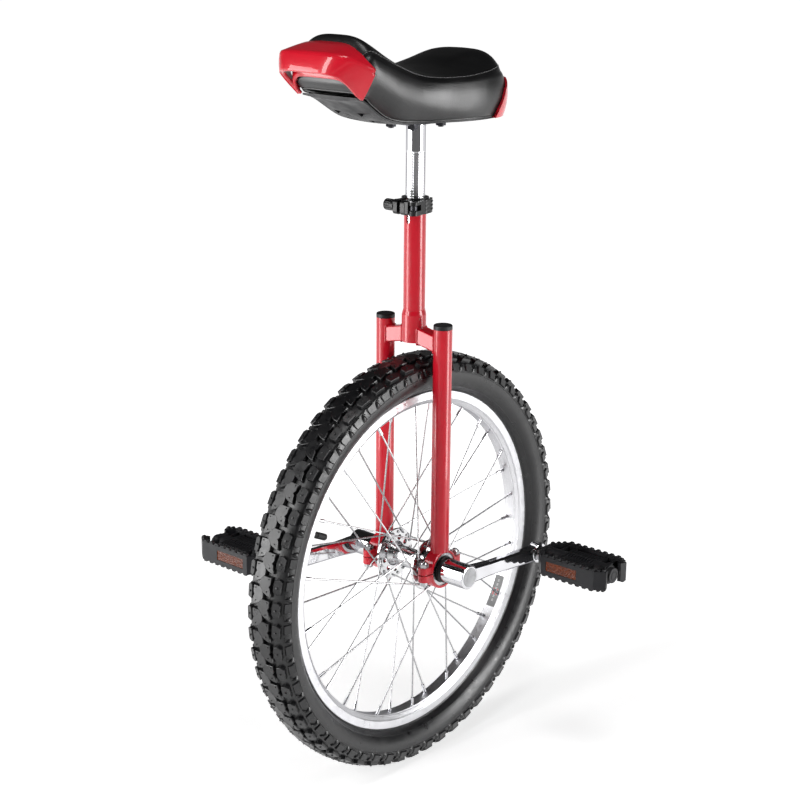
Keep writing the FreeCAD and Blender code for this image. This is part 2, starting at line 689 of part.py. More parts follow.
def crank():
    """The left crank, pointing straight back before it is turned to its angle."""
    boss = axle_rod(BOSS_R, *BOSS_Y)
    boss = boss.makeFillet(1.6, [e for e in boss.Edges if e.Curve.TypeId == "Part::GeomCircle"])
    eye_axis = -CRANK_LENGTH
    eye = rod(EYE_R, axle_point(EYE_Y[0], eye_axis), axle_point(EYE_Y[1], eye_axis))
    eye = eye.makeFillet(1.6, [e for e in eye.Edges if e.Curve.TypeId == "Part::GeomCircle"])

    def section(x, y0, y1, half, corner):
        pts = [(y0, -half + corner), (y0 + corner, -half), (y1 - corner, -half), (y1, -half + corner),
               (y1, half - corner), (y1 - corner, half), (y0 + corner, half), (y0, half - corner)]
        points = [axle_point(y, x, z) for y, z in pts]
        return Part.makePolygon(points + points[:1])

    arm = Part.makeLoft(
        [section(-6.0, 75.0, 89.0, 10.4, 2.4), section(-40.0, 79.0, 90.5, 8.8, 2.4),
         section(-CRANK_LENGTH, 86.6, 97.4, 9.6, 2.4)],
        True, True,
    )
    body = fused([boss, arm, eye])
    cuts = [
        square_end(),
        axle_rod(8.2, TAPER_END_Y, CRANK_OUT_Y + 1),
        axle_rod(CAP_R, CRANK_OUT_Y - 2.0, CRANK_OUT_Y + 1),
        rod(SPINDLE_THREAD_R, axle_point(80, eye_axis), axle_point(105, eye_axis)),
    ]
    return body.cut(Part.makeCompound(cuts))


def crank_bolt():
    """The screw that draws the crank onto the left end of the axle."""
    shank = axle_rod(3.2, TAPER_END_Y - 20, TAPER_END_Y)
    head = axle_rod(7.6, TAPER_END_Y, TAPER_END_Y + 5)
    socket = axle_rod(3.2, TAPER_END_Y + 1.5, TAPER_END_Y + 6)
    return fused([shank, head]).cut(socket)


def crank_dust_cap():
    disc = axle_rod(CAP_R - 0.05, CRANK_OUT_Y - 2.0, CRANK_OUT_Y + 0.6)
    return disc.makeFillet(0.5, [e for e in disc.Edges if e.BoundBox.YMin > CRANK_OUT_Y])


# ---- pedals ------------------------------------------------------------------------------------------

SPINDLE_THREAD_R = 7.1
SPINDLE_R = 6.0
SPINDLE_END_Y = 190.0
BARREL_OUT_R = 11.5
BUSH_R = 8.6
PEDAL_WALL = 5.5


def left_eye():
    """The middle of the left pedal axis, which the turned crank carries."""
    at = turned(Part.Vertex(axle_point(0, -CRANK_LENGTH)), CRANK_ANGLE).Point
    return vec(at.x, 0, at.z)


def pedal_outline(inset):
    """Half of a plan: cut corners by the crank, two jaws at the outer end."""
    y0, y1 = PEDAL_Y
    d = PEDAL_HALF_DEPTH - inset
    return [(13.0 - inset * 0.4, y0 + inset), (d, y0 + 16.0), (d, y1 - 6.0), (d - 9.0, y1 + 6.0 - inset),
            (d - 16.0, y1 + 3.0 - inset), (11.0 - inset * 0.4, y1 - 5.0 - inset)]


def pedal_plan(inset, z0, z1):
    half = pedal_outline(inset)
    whole = half + [(-x, y) for x, y in reversed(half)]
    return prism([vec(x, y, z0) for x, y in whole], vec(0, 0, z1 - z0))


def pedal_teeth():
    """A row of anti-slip teeth along each long edge and each cut corner, top and bottom."""
    h = PEDAL_HALF_HEIGHT
    teeth = []
    y0, y1 = PEDAL_Y
    base, crest, thick = 3.4, 2.0, 4.0
    count = 8
    for k in range(count):
        y = y0 + 20.0 + k * (y1 - 10.0 - (y0 + 20.0)) / (count - 1)
        x_out = PEDAL_HALF_DEPTH - 0.4
        side = [vec(x_out, y - base, h), vec(x_out, y + base, h), vec(x_out, y + crest, h + TOOTH_HEIGHT),
                vec(x_out, y - crest, h + TOOTH_HEIGHT)]
        teeth.append(prism(side, vec(-thick, 0, 0)))
    for y in (y0 + 1.5, y0 + 6.5, y0 + 11.5):
        x = 13.0 + (y - y0) * (PEDAL_HALF_DEPTH - 13.0) / 16.0
        teeth.append(box(vec(x - 5.0, y, h), vec(x - 1.0, y + 3.0, h + TOOTH_HEIGHT)))
    for y in (y1 - 2.0, y1 + 2.5):
        x = PEDAL_HALF_DEPTH - 2.5 - (y - (y1 - 2.0)) * 0.75
        teeth.append(box(vec(x - 6.0, y - 2.0, h), vec(x - 1.5, y + 1.0, h + TOOTH_HEIGHT)))
    front = teeth + [t.mirror(vec(0, 0, 0), vec(1, 0, 0)) for t in teeth]
    return front + [t.mirror(vec(0, 0, 0), UP) for t in front]


REFLECTOR_Y = (128.0, 172.0)
REFLECTOR_HALF = 6.2


def mirrored_x(shapes):
    return [s.mirror(vec(0, 0, 0), vec(1, 0, 0)) for s in shapes]


def reflector_block(clearance, outer_x):
    """The room for the left-hand front reflector, or the lens itself."""
    y0, y1 = REFLECTOR_Y
    half = REFLECTOR_HALF - clearance
    return box(vec(PEDAL_HALF_DEPTH - 2.2, y0 + clearance, -half), vec(outer_x, y1 - clearance, half))


def pedal_frame():
    """The uncut body: outer frame, barrel, tray, raised tread block and cross ribs."""
    y0, y1 = PEDAL_Y
    h = PEDAL_HALF_HEIGHT
    ring = pedal_plan(0.0, -h, h).cut(pedal_plan(PEDAL_WALL, -h - 1, h + 1))
    barrel = rod(BARREL_OUT_R, vec(0, y0, 0), vec(0, y1 - 3, 0))
    tray = pedal_plan(1.0, -1.6, 1.6)
    tread = box(vec(-19.0, y0 + 30.0, -h + 1.4), vec(19.0, y1 - 22.0, h - 1.4))
    tread = tread.makeChamfer(2.0, [e for e in tread.Edges if e.BoundBox.YLength > 30])
    rib_x, rib_z = PEDAL_HALF_DEPTH - 1, h - 3.0
    ribs = []
    for y in (y0 + 16, y0 + 30, y1 - 24, y1 - 12):
        ribs.append(box(vec(-rib_x, y, -rib_z), vec(rib_x, y + 2.4, rib_z)))
    return fused([ring, barrel, tray, tread] + ribs + pedal_teeth())


def pedal_body():
    """The moulded body with its windows, tread grooves, reflector pockets and bore."""
    y0, y1 = PEDAL_Y
    h = PEDAL_HALF_HEIGHT
    window_x = (13.2, PEDAL_HALF_DEPTH - PEDAL_WALL)
    pockets = [reflector_block(0.0, PEDAL_HALF_DEPTH + 1)]
    for low, high in ((y0 + 20.0, y0 + 28.0), (y1 - 20.0, y1 - 14.0)):
        pockets.append(box(vec(window_x[0], low, -h - 4), vec(window_x[1], high, h + 4)))
    pockets += mirrored_x(pockets)
    grooves = [box(vec(-20, y, h - 2.2), vec(20, y + 1.2, h)) for y in range(int(y0) + 34, int(y1) - 24, 4)]
    grooves += [g.mirror(vec(0, 0, 0), UP) for g in grooves]
    bore = rod(BUSH_R, vec(0, y0 - 1, 0), vec(0, y1, 0))
    return pedal_frame().cut(Part.makeCompound(grooves)).cut(Part.makeCompound(pockets)).cut(bore)


def pedal_reflectors():
    lens = reflector_block(0.2, PEDAL_HALF_DEPTH - 0.5)
    return [lens] + mirrored_x([lens])


def pedal_bushes():
    y0, y1 = PEDAL_Y
    spans = ((y0 + 2, y0 + 14), (y1 - 26, y1 - 14))
    return [tube(BUSH_R, SPINDLE_R + RUN_GAP, vec(0, a, 0), vec(0, b, 0)) for a, b in spans]


def pedal_end_cap():
    """A round cap with a ring groove, plugged into the outer end of the barrel."""
    y1 = PEDAL_Y[1]
    face_y = y1 + 2.6
    cap = rod(9.4, vec(0, y1 - 3, 0), vec(0, face_y, 0))
    cap = cap.makeFillet(1.0, [e for e in cap.Edges if e.BoundBox.YMin > y1 + 2])
    plug = rod(BUSH_R - 0.1, vec(0, y1 - 7, 0), vec(0, y1 - 3, 0))
    return fused([plug, cap]).cut(Part.makeTorus(5.2, 0.5, vec(0, face_y, 0), LEFT))


def pedal_spindle():
    """Threaded end in the crank eye, wrench flats, and the journal inside the pedal."""
    thread = rod(SPINDLE_THREAD_R, vec(0, EYE_Y[0], 0), vec(0, EYE_Y[1], 0))
    flats = prism([vec(x, EYE_Y[1], z) for x, z in hexagon_xz(7.5)], vec(0, PEDAL_Y[0] - EYE_Y[1] - 1.5, 0))
    shoulder = rod(8.0, vec(0, PEDAL_Y[0] - 1.5, 0), vec(0, PEDAL_Y[0] + 1.6, 0))
    journal = rod(SPINDLE_R, vec(0, PEDAL_Y[0], 0), vec(0, SPINDLE_END_Y - 2.5, 0))
    tail = rod(3.0, vec(0, SPINDLE_END_Y - 3, 0), vec(0, SPINDLE_END_Y + 2, 0))
    return fused([thread, flats, shoulder, journal, tail])


def hexagon_xz(across_half):
    radius = across_half / math.cos(math.radians(30))
    angles = [math.radians(a) for a in range(0, 360, 60)]
    return [(radius * math.cos(a), radius * math.sin(a)) for a in angles]


def pedal_locknut():
    nut = prism([vec(x, SPINDLE_END_Y - 2.5, z) for x, z in hexagon_xz(5.0)], vec(0, 4.5, 0))
    return nut.cut(rod(3.0 + RUN_GAP, vec(0, SPINDLE_END_Y - 3, 0), vec(0, SPINDLE_END_Y + 3, 0)))


# ---- saddle ------------------------------------------------------------------------------------------

# x, half width, half width of the underside, height of the underside, of the seam, and of the crown
SADDLE_STATIONS = [
    (-105, 20, 16, 790, 824, 836),
    (-98, 42, 36, 785, 828, 846),
    (-80, 63, 57, 783, 830, 851),
    (-45, 77, 70, 783, 830, 846),
    (-10, 76, 68, 783, 829, 838),
    (25, 66, 56, 783, 829, 838),
    (55, 60, 43, 783, 833, 848),
    (85, 58, 36, 788, 843, 867),
    (113, 57, 37, 803, 855, 878.5),
    (130, 55, 39, 812.5, 861, 876),
    (140, 50, 40, 815, 855, 864),
    (150, 42, 33, 820, 845, 849),
]
COVER_THICKNESS = 1.6
PLATE_Z = (775.0, 778.5)
BOLT_SPOTS = [(-24, -16), (-24, 16), (24, -16), (24, 16)]
STUD_R = 3.0
BOLT_HOLE_R = STUD_R + 0.1
BASE_THICKNESS = 3.4
BASE_BELLY = 1.5


def spline_loft(wires):
    return Part.makeLoft(wires, True, False)


def saddle_section(x, w, low_w, z_low, z_seam, z_top, grow):
    """A cross-section: flat underside, bulging side panels and a crowned top."""
    w, low_w, z_low, z_top = w + grow, low_w + grow, z_low - grow, z_top + grow
    seam_w = w - 6.0
    a, b = vec(x, -low_w, z_low), vec(x, low_w, z_low)
    c, d = vec(x, seam_w, z_seam + grow), vec(x, -seam_w, z_seam + grow)
    side = vec(x, w, z_low + 0.5 * (z_seam - z_low))
    other_side = vec(x, -side.y, side.z)
    return Part.Wire([
        Part.makeLine(a, b),
        Part.Arc(b, side, c).toShape(),
        Part.Arc(c, vec(x, 0, z_top), d).toShape(),
        Part.Arc(d, other_side, a).toShape(),
    ])


def saddle_solid(grow):
    """The upholstered shape, grown or shrunk by a few tenths."""
    last = len(SADDLE_STATIONS) - 1
    wires = []
    for k, (x, *sizes) in enumerate(SADDLE_STATIONS):
        x += grow * ((k == last) - (k == 0))
        wires.append(saddle_section(x, *sizes, grow))
    return spline_loft(wires)


def pan_section(x, half, z):
    """A cross-section of the pan: flat on top, short upright edges and a slight belly."""
    edge_z = z - BASE_THICKNESS + 1.2
    belly_z = z - BASE_THICKNESS - BASE_BELLY * min(1.0, half / 60.0)
    a, b = vec(x, -half, z), vec(x, half, z)
    foot, other = vec(x, half, edge_z), vec(x, -half, edge_z)
    belly = Part.Arc(foot, vec(x, 0, belly_z), other).toShape()
    return Part.Wire([Part.makeLine(a, b), Part.makeLine(b, foot), belly, Part.makeLine(other, a)])


def pan_solid():
    """The pan before its slots are cut, with a flat pad where the post plate bolts on."""
    wires = []
    for x, _, low_w, z_low, _, _ in SADDLE_STATIONS[:-1]:
        wires.append(pan_section(x, low_w - 1.0, z_low - TOUCH_GAP))
    pan = spline_loft(wires).cut(saddle_solid(0.0))
    pan = max(pan.Solids, key=lambda solid: solid.Volume)
    pad = box(vec(-34, -24, PLATE_Z[1]), vec(34, 24, 782))
    return fused([pan.cut(box(vec(-34, -24, 700), vec(34, 24, PLATE_Z[1]))), pad])


def saddle_base():
    """The black plastic pan under the cushion, with lightening slots and four bolt holes."""
    cuts = [rod(BOLT_HOLE_R, vec(x, y, 700), vec(x, y, 840)) for x, y in BOLT_SPOTS]
    for x in (62, 80, 98):
        for y in (-26, 8):
            cuts.append(box(vec(x, y, 700), vec(x + 8, y + 18, 840)))
    for y in (-40, -15, 5, 30):
        cuts.append(box(vec(-78, y, 700), vec(-52, y + 10, 840)))
    return pan_solid().cut(Part.makeCompound(cuts))


NOSE_CORNER = (176.0, 41.0)  # plan of the bumper's front corner
NOSE_FRONT_X = 177.5
NOSE_REAR = (136.0, 62.5)
LIP_Y = 43.5  # half width of the bumper's lower edge
BUMPER_WALL = 3.2
GRIP_X = (158.5, 171.5)
GRIP_TOP_Z = 854.5
INNER_LIP_Z = 829.0  # lower edge of the wall behind the fingers


def nose_plan(inset, z0, z1):
    """The plan of the nose: a slightly curved front, rounded corners and slanting sides."""
    front, corner_x, corner_y = NOSE_FRONT_X - inset, NOSE_CORNER[0] - inset, NOSE_CORNER[1] - 0.6 * inset
    rear_x, rear_y = NOSE_REAR[0], NOSE_REAR[1] - inset
    left, right = vec(corner_x, corner_y, z0), vec(corner_x, -corner_y, z0)
    outline = Part.Wire([
        Part.Arc(right, vec(front, 0, z0), left).toShape(),
        Part.makeLine(left, vec(rear_x, rear_y, z0)),
        Part.makeLine(vec(rear_x, rear_y, z0), vec(rear_x, -rear_y, z0)),
        Part.makeLine(vec(rear_x, -rear_y, z0), right),
    ])
    block = Part.Face(outline).extrude(vec(0, 0, z1 - z0))
    corners = [e for e in block.Edges if e.BoundBox.XMin > rear_x + 1 and e.BoundBox.ZLength > 1]
    return block.makeFillet(9.0 - inset, corners)


def nose_side_view(inset):
    """The bumper seen from the side: sloping top, leaning front, and a lower edge that drops backwards."""
    points = [
        (136, 867), (170, 860), (173.5, 858), (177.5, 843), (176, 841), (168, 835.5), (138, 813.5),
        (136, 814),
    ]
    if inset:
        points = [(130, 867 - inset), (170, 860 - inset), (180, 857 - inset), (180, 800), (130, 800)]
    return prism([vec(x, -90, z) for x, z in points], vec(0, 180, 0))


def nose_front_view(inset):
    """The bumper seen from the front: a crowned top, and sides that lean in towards the base."""
    half = [(20, 867.5), (32, 865.5), (46, 860), (62.5, 843), (62.5, 839), (LIP_Y, 813)]
    half = [(y - inset, z - inset * (z > 842)) for y, z in half]
    points = half + [(-y, z) for y, z in reversed(half)]
    return prism([vec(100, y, z) for y, z in points], vec(100, 0, 0))


def front_bumper():
    """The red nose guard. Its hollow front is the grab handle: fingers go up behind the lip."""
    outer = nose_plan(0, 800, 880).common(nose_side_view(0)).common(nose_front_view(0))
    hollow = nose_plan(BUMPER_WALL, 790, 880).common(nose_side_view(BUMPER_WALL))
    hollow = hollow.common(nose_front_view(BUMPER_WALL))
    below = box(vec(120, -LIP_Y + 4, 790), vec(168, LIP_Y - 4, INNER_LIP_Z))
    inner_wall_x = GRIP_X[0] - BUMPER_WALL
    behind = hollow.common(box(vec(100, -90, 790), vec(inner_wall_x, 90, 880)))
    grip = hollow.common(box(vec(GRIP_X[0], -90, 790), vec(200, 90, GRIP_TOP_Z)))
    body = outer.cut(behind).cut(grip).cut(below).cut(saddle_solid(TOUCH_GAP))
    return max(body.Solids, key=lambda s: s.Volume)


def rear_bumper():
    """The red tail guard, a thin curved plate."""
    wires = []
    for k, (x, *sizes) in enumerate(SADDLE_STATIONS[:5]):
        wires.append(saddle_section(x - 3.2 * (k == 0), *sizes, 3.0))
    shell = spline_loft(wires).cut(saddle_solid(TOUCH_GAP)).cut(pan_solid())
    side = [(-112, 822), (-88, 822), (-66, 811), (-53, 792), (-50, 781), (-112, 781)]
    guard = shell.common(prism([vec(x, -100, z) for x, z in side], vec(0, 200, 0)))
    return max(guard.Solids, key=lambda solid: solid.Volume)


def seat_post():
    z0, z1 = POST_Z
    return tube(POST_R, POST_R - 1.8, vec(0, 0, z0), vec(0, 0, z1))


def seat_post_plate():
    plate = box(vec(-33, -23, PLATE_Z[0]), vec(33, 23, PLATE_Z[1]))
    plate = plate.makeFillet(6.0, [e for e in plate.Edges if e.BoundBox.ZLength > 1])
    holes = [rod(BOLT_HOLE_R, vec(x, y, 770), vec(x, y, 780)) for x, y in BOLT_SPOTS]
    return plate.cut(Part.makeCompound(holes))


def saddle_bolts():
    """Four studs from the pan with flange nuts under the post plate."""
    made = []
    for x, y in BOLT_SPOTS:
        stud = rod(STUD_R, vec(x, y, PLATE_Z[0] - 6), vec(x, y, 781.5))
        nut = prism(hexagon(5.0, vec(x, y, PLATE_Z[0] - 4.5)), vec(0, 0, 4.5))
        nut = nut.cut(rod(STUD_R + RUN_GAP, vec(x, y, 760), vec(x, y, 790)))
        made += [stud, nut]
    return made


# ---- build -------------------------------------------------------------------------------------------


def both(name, shape):
    save("left_" + name, shape)
    save("right_" + name, mirrored(shape))


def build_wheel():
    left, right, nipples = spokes_and_nipples()
    save("tyre", tyre())
    save("inner_tube", inner_tube())
    save("rim", rim())
    save("rim_tape", rim_tape())
    save("spokes_left", group(left))
    save("spokes_right", group(right))
    save("spoke_nipples", group(nipples))
    save("valve_stem", valve_stem())
    save("valve_cap", valve_cap())
    save("hub_shell", hub_shell())
    outer, inner, balls, seals = bearing()
    save("bearing_outer_races", group([outer, mirrored(outer)]))
    save("bearing_inner_races", group([inner, mirrored(inner)]))
    save("bearing_balls", group(balls + [mirrored(b) for b in balls]))
    save("bearing_seals", group(seals + [mirrored(s) for s in seals]))
    save("dust_rings", group([dust_ring(), mirrored(dust_ring())]))


def opposite(shape):
    """A left-side crank piece as its right-side twin, half a turn on."""
    return turned(mirrored(shape), 180)


def build_cranks():
    """The axle, cranks and spindles, all turned together to the crank angle."""
    spindle = moved(pedal_spindle(), axle_point(0, -CRANK_LENGTH))
    locknut = moved(pedal_locknut(), axle_point(0, -CRANK_LENGTH))

    def set_angle(shape):
        return turned(shape, CRANK_ANGLE)

    left_crank = set_angle(crank())
    save("axle", set_angle(axle()))
    save("left_crank", left_crank)
    save("right_crank", set_angle(opposite(crank())))
    bolt, cap = crank_bolt(), crank_dust_cap()
    save("crank_bolts", group([bolt, mirrored(bolt)]))
    save("crank_dust_caps", group([cap, mirrored(cap)]))
    save("left_pedal_spindle", set_angle(spindle))
    save("right_pedal_spindle", set_angle(opposite(spindle)))
    save("pedal_locknuts", group([set_angle(locknut), set_angle(opposite(locknut))]))


def build_pedals():
    """Both pedals about their own axes; the right one is the left one mirrored."""
    eye = left_eye()
    twin = vec(-eye.x, 0, 2 * WHEEL_R - eye.z)
    pieces = {
        "pedal_body": [pedal_body()],
        "pedal_reflectors": pedal_reflectors(),
        "pedal_bushes": pedal_bushes(),
        "pedal_end_cap": [pedal_end_cap()],
    }
    for name, shapes in pieces.items():
        save("left_" + name, moved(group(shapes), eye))
        save("right_" + name, moved(group([mirrored(s) for s in shapes]), twin))
    print(f"left pedal axis {eye.x:.3f} {eye.z:.3f}, right {twin.x:.3f} {twin.z:.3f}")


def build_frame():
    both("leg", leg())
    both("leg_cap", leg_cap())
    both("crown_bar", crown_bar())
    both("bearing_holder", bearing_half(True))
    both("bearing_cap", bearing_half(False))
    save("bearing_cap_bolts", group(holder_bolts()))
    save("seat_tube", seat_tube())
    save("seat_tube_sleeve", seat_tube_sleeve())
    save("seat_clamp_collar", seat_clamp_collar())
    save("qr_skewer", qr_skewer())
    save("qr_washers", group(qr_washers()))
    save("qr_nut", qr_nut())
    save("qr_lever", qr_lever())
    save("qr_cam_pin", qr_cam_pin())


def build_saddle():
    foam = saddle_solid(-COVER_THICKNESS)
    save("saddle_foam", foam)
    save("saddle_cover", saddle_solid(0.0).cut(foam))
    save("saddle_base", saddle_base())
    save("front_bumper", front_bumper())
    save("rear_bumper", rear_bumper())
    save("seat_post", seat_post())
    save("seat_post_plate", seat_post_plate())
    save("saddle_bolts", group(saddle_bolts()))


def main():
    os.makedirs(PARTS, exist_ok=True)
    build_wheel()
    build_cranks()
    build_pedals()
    build_frame()
    build_saddle()


main()
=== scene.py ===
"""Looks of the unicycle: materials, tyre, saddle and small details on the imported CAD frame.

Everything is in metres in the CAD's frame: +X forwards, +Y the rider's left, +Z up, origin on the
ground below the hub. CAD nodes keep their shapes and get materials. The tyre, the saddle cushion, the
front guard, the post, the rim's label and the crown's weld beads are new pieces built in mesh code.
"""

import json
import math

import bmesh
import bpy
import numpy as np
from mathutils import Matrix, Vector
from mathutils.bvhtree import BVHTree


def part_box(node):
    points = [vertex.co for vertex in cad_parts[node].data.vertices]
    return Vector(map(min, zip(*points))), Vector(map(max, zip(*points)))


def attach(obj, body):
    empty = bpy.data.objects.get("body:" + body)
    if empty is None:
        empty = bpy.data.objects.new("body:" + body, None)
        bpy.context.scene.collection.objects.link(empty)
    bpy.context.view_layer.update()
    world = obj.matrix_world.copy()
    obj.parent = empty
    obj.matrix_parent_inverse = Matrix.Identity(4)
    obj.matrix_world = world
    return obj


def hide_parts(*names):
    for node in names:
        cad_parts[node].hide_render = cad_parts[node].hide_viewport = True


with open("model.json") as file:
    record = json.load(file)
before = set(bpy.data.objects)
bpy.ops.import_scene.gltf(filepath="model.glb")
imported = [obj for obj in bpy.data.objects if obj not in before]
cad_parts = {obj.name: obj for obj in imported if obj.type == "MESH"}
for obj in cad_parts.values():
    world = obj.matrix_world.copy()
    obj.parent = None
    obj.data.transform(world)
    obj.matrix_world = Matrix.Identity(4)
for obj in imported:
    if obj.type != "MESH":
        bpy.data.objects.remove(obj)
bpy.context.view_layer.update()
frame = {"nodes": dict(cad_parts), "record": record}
MM = 0.001
HUB_Z = 0.254

# ---- camera and stage --------------------------------------------------------------------------------

CAMERA_AT = (1.4292, 1.2221, 1.0076)
CAMERA_AZIMUTH = 49.0  # of the direction back to the camera, from +Y towards +X
CAMERA_ELEVATION = 16.46
CAMERA_ROLL = 0.47
LENS = 75.6
FLOOR_HALF = 30.0
GLOW_FAR = 1.0  # how brightly the paper glows beyond the object, round its foot, dimmed there as painted shade that also lets the lamps' own shadow show, and in front of it, dimmed as painted shade that paint and chrome reflect as a dark studio
GLOW_NEAR = 0.66  # round its foot
GLOW_FRONT = 0.12  # and where the studio is dark, in front of it
FRONT = (0.76, 0.65, 0)  # the way that counts as in front
FRONT_FADE = (0.15, 1.0)  # distances to the front between which the glow dims
FOOT_FADE = (0.2, 1.3)  # distances from the foot between which the glow grows
LAMP_AIM = (0, 0, 0.45)
GLOSS_AIM = (0, 0, 0.55)


def make_camera():
    """A camera that looks back along its azimuth and elevation, with a slight roll."""
    azimuth, elevation, roll = map(math.radians, (CAMERA_AZIMUTH, CAMERA_ELEVATION, CAMERA_ROLL))
    back = Vector((
        math.sin(azimuth) * math.cos(elevation), math.cos(azimuth) * math.cos(elevation), math.sin(elevation)
    ))
    level_right = Vector((0, 0, 1)).cross(back).normalized()
    level_up = back.cross(level_right)
    right = level_right * math.cos(roll) + level_up * math.sin(roll)
    up = back.cross(right)
    data = bpy.data.cameras.new("camera")
    data.lens = LENS
    data.sensor_width = 36
    data.clip_end = 100
    camera = bpy.data.objects.new("camera", data)
    camera.matrix_world = Matrix.Translation(CAMERA_AT) @ Matrix((right, up, back)).transposed().to_4x4()
    bpy.context.scene.collection.objects.link(camera)
    bpy.context.scene.camera = camera


def area_light(name, at, aim, size, power, fill=True):
    """A soft box. One without fill only gives highlights."""
    data = bpy.data.lights.new(name, "AREA")
    data.shape = "RECTANGLE"
    data.size, data.size_y = size
    data.energy = power
    light = bpy.data.objects.new(name, data)
    light.location = at
    light.visible_camera = False
    light.visible_diffuse = fill
    light.rotation_mode = "QUATERNION"
    light.rotation_quaternion = (Vector(aim) - Vector(at)).to_track_quat("-Z", "Y")
    bpy.context.scene.collection.objects.link(light)


def make_lights():
    """Tall soft boxes to the camera's left and right, a small one overhead, and a room that is dark above."""
    area_light("key", (2.75, -0.75, 1.5), LAMP_AIM, (0.6, 2.6), 56)
    area_light("side", (-0.9, 2.6, 1.1), LAMP_AIM, (0.8, 2.2), 31)
    area_light("top", (0.5, 0.4, 3.0), LAMP_AIM, (0.8, 0.8), 14)
    area_light("left_gloss", (0.95, -0.73, 0.55), GLOSS_AIM, (0.45, 1.1), 12, fill=False)
    area_light("right_gloss", (-0.42, 1.02, 0.55), GLOSS_AIM, (0.45, 1.1), 12, fill=False)
    bpy.context.scene.world = make_room()
    bpy.context.scene.view_settings.view_transform = "Standard"


def make_room():
    """Surroundings that are pale near the horizon and fade to dark overhead."""
    world = bpy.data.worlds.new("studio")
    world.use_nodes = True
    tree = world.node_tree
    place = tree.nodes.new("ShaderNodeTexCoord")
    split = tree.nodes.new("ShaderNodeSeparateXYZ")
    ramp = tree.nodes.new("ShaderNodeValToRGB")
    tree.links.new(place.outputs["Generated"], split.inputs["Vector"])
    tree.links.new(split.outputs["Z"], ramp.inputs["Fac"])
    tree.links.new(ramp.outputs["Color"], tree.nodes["Background"].inputs["Color"])
    low, high = ramp.color_ramp.elements
    low.position, low.color = 0.0, (0.7, 0.7, 0.7, 1)
    high.position, high.color = 0.6, (0.015, 0.015, 0.015, 1)
    ramp.color_ramp.elements.new(0.14).color = (0.07, 0.07, 0.07, 1)
    return world


def make_floor():
    """White paper that glows, so that it stays pale far from the lamps.

    It glows less round the object's foot, as painted shade that also lets the lamps' shadow show, and much
    less in front of it, as painted shade that paint and chrome reflect.
    """
    paper = Surface("floor_paper", (0.9, 0.9, 0.9), 0.9)
    paper.shader.inputs["Emission Color"].default_value = (1, 1, 1, 1)
    paper.vary_color((0.895, 0.895, 0.895), (0.905, 0.905, 0.905), 60.0)
    # painted shade: the glow drops in front of the object, so paint and chrome reflect a dark floor there
    front = paper.node("ShaderNodeVectorMath", operation="DOT_PRODUCT")
    front.inputs[1].default_value = FRONT
    away = paper.node("ShaderNodeVectorMath", operation="LENGTH")
    for measure in (front, away):
        paper.join(paper.place, measure.inputs[0])
    dark = paper.node("ShaderNodeMapRange", interpolation_type="SMOOTHSTEP")
    paper.join(front.outputs["Value"], dark.inputs["Value"])
    set_range(dark, *FRONT_FADE, 1.0, GLOW_FRONT)
    # painted shade: the glow also drops round the object's foot
    foot = paper.node("ShaderNodeMapRange", interpolation_type="SMOOTHSTEP")
    paper.join(away.outputs["Value"], foot.inputs["Value"])
    set_range(foot, *FOOT_FADE, GLOW_NEAR, GLOW_FAR)
    glow = paper.node("ShaderNodeMath", operation="MULTIPLY")
    paper.join(dark.outputs["Result"], glow.inputs[0])
    paper.join(foot.outputs["Result"], glow.inputs[1])
    paper.join(glow.outputs["Value"], paper.shader.inputs["Emission Strength"])
    new_mesh("floor", *grid_plane(FLOOR_HALF), paper.material)


def set_range(node, from_low, from_high, to_low, to_high):
    sockets = ("From Min", "From Max", "To Min", "To Max")
    for name, value in zip(sockets, (from_low, from_high, to_low, to_high)):
        node.inputs[name].default_value = value


def grid_plane(half):
    return [(-half, -half, 0), (half, -half, 0), (half, half, 0), (-half, half, 0)], [(0, 1, 2, 3)]


# ---- materials ---------------------------------------------------------------------------------------

NOISE_ROUGHNESS = 0.55
RAMP_ENDS = (0.3, 0.7)  # texture values at which a ramp reaches its first and last colour
RED = (0.66, 0.006, 0.022)
BLACK_PLASTIC = (0.010, 0.010, 0.012)
# near-black metal: used on the skewer and cam pin, and as painted shade on the saddle bolts and post plate
DARK_METAL_AND_PAINTED_SHADE = (0.05, 0.05, 0.055)


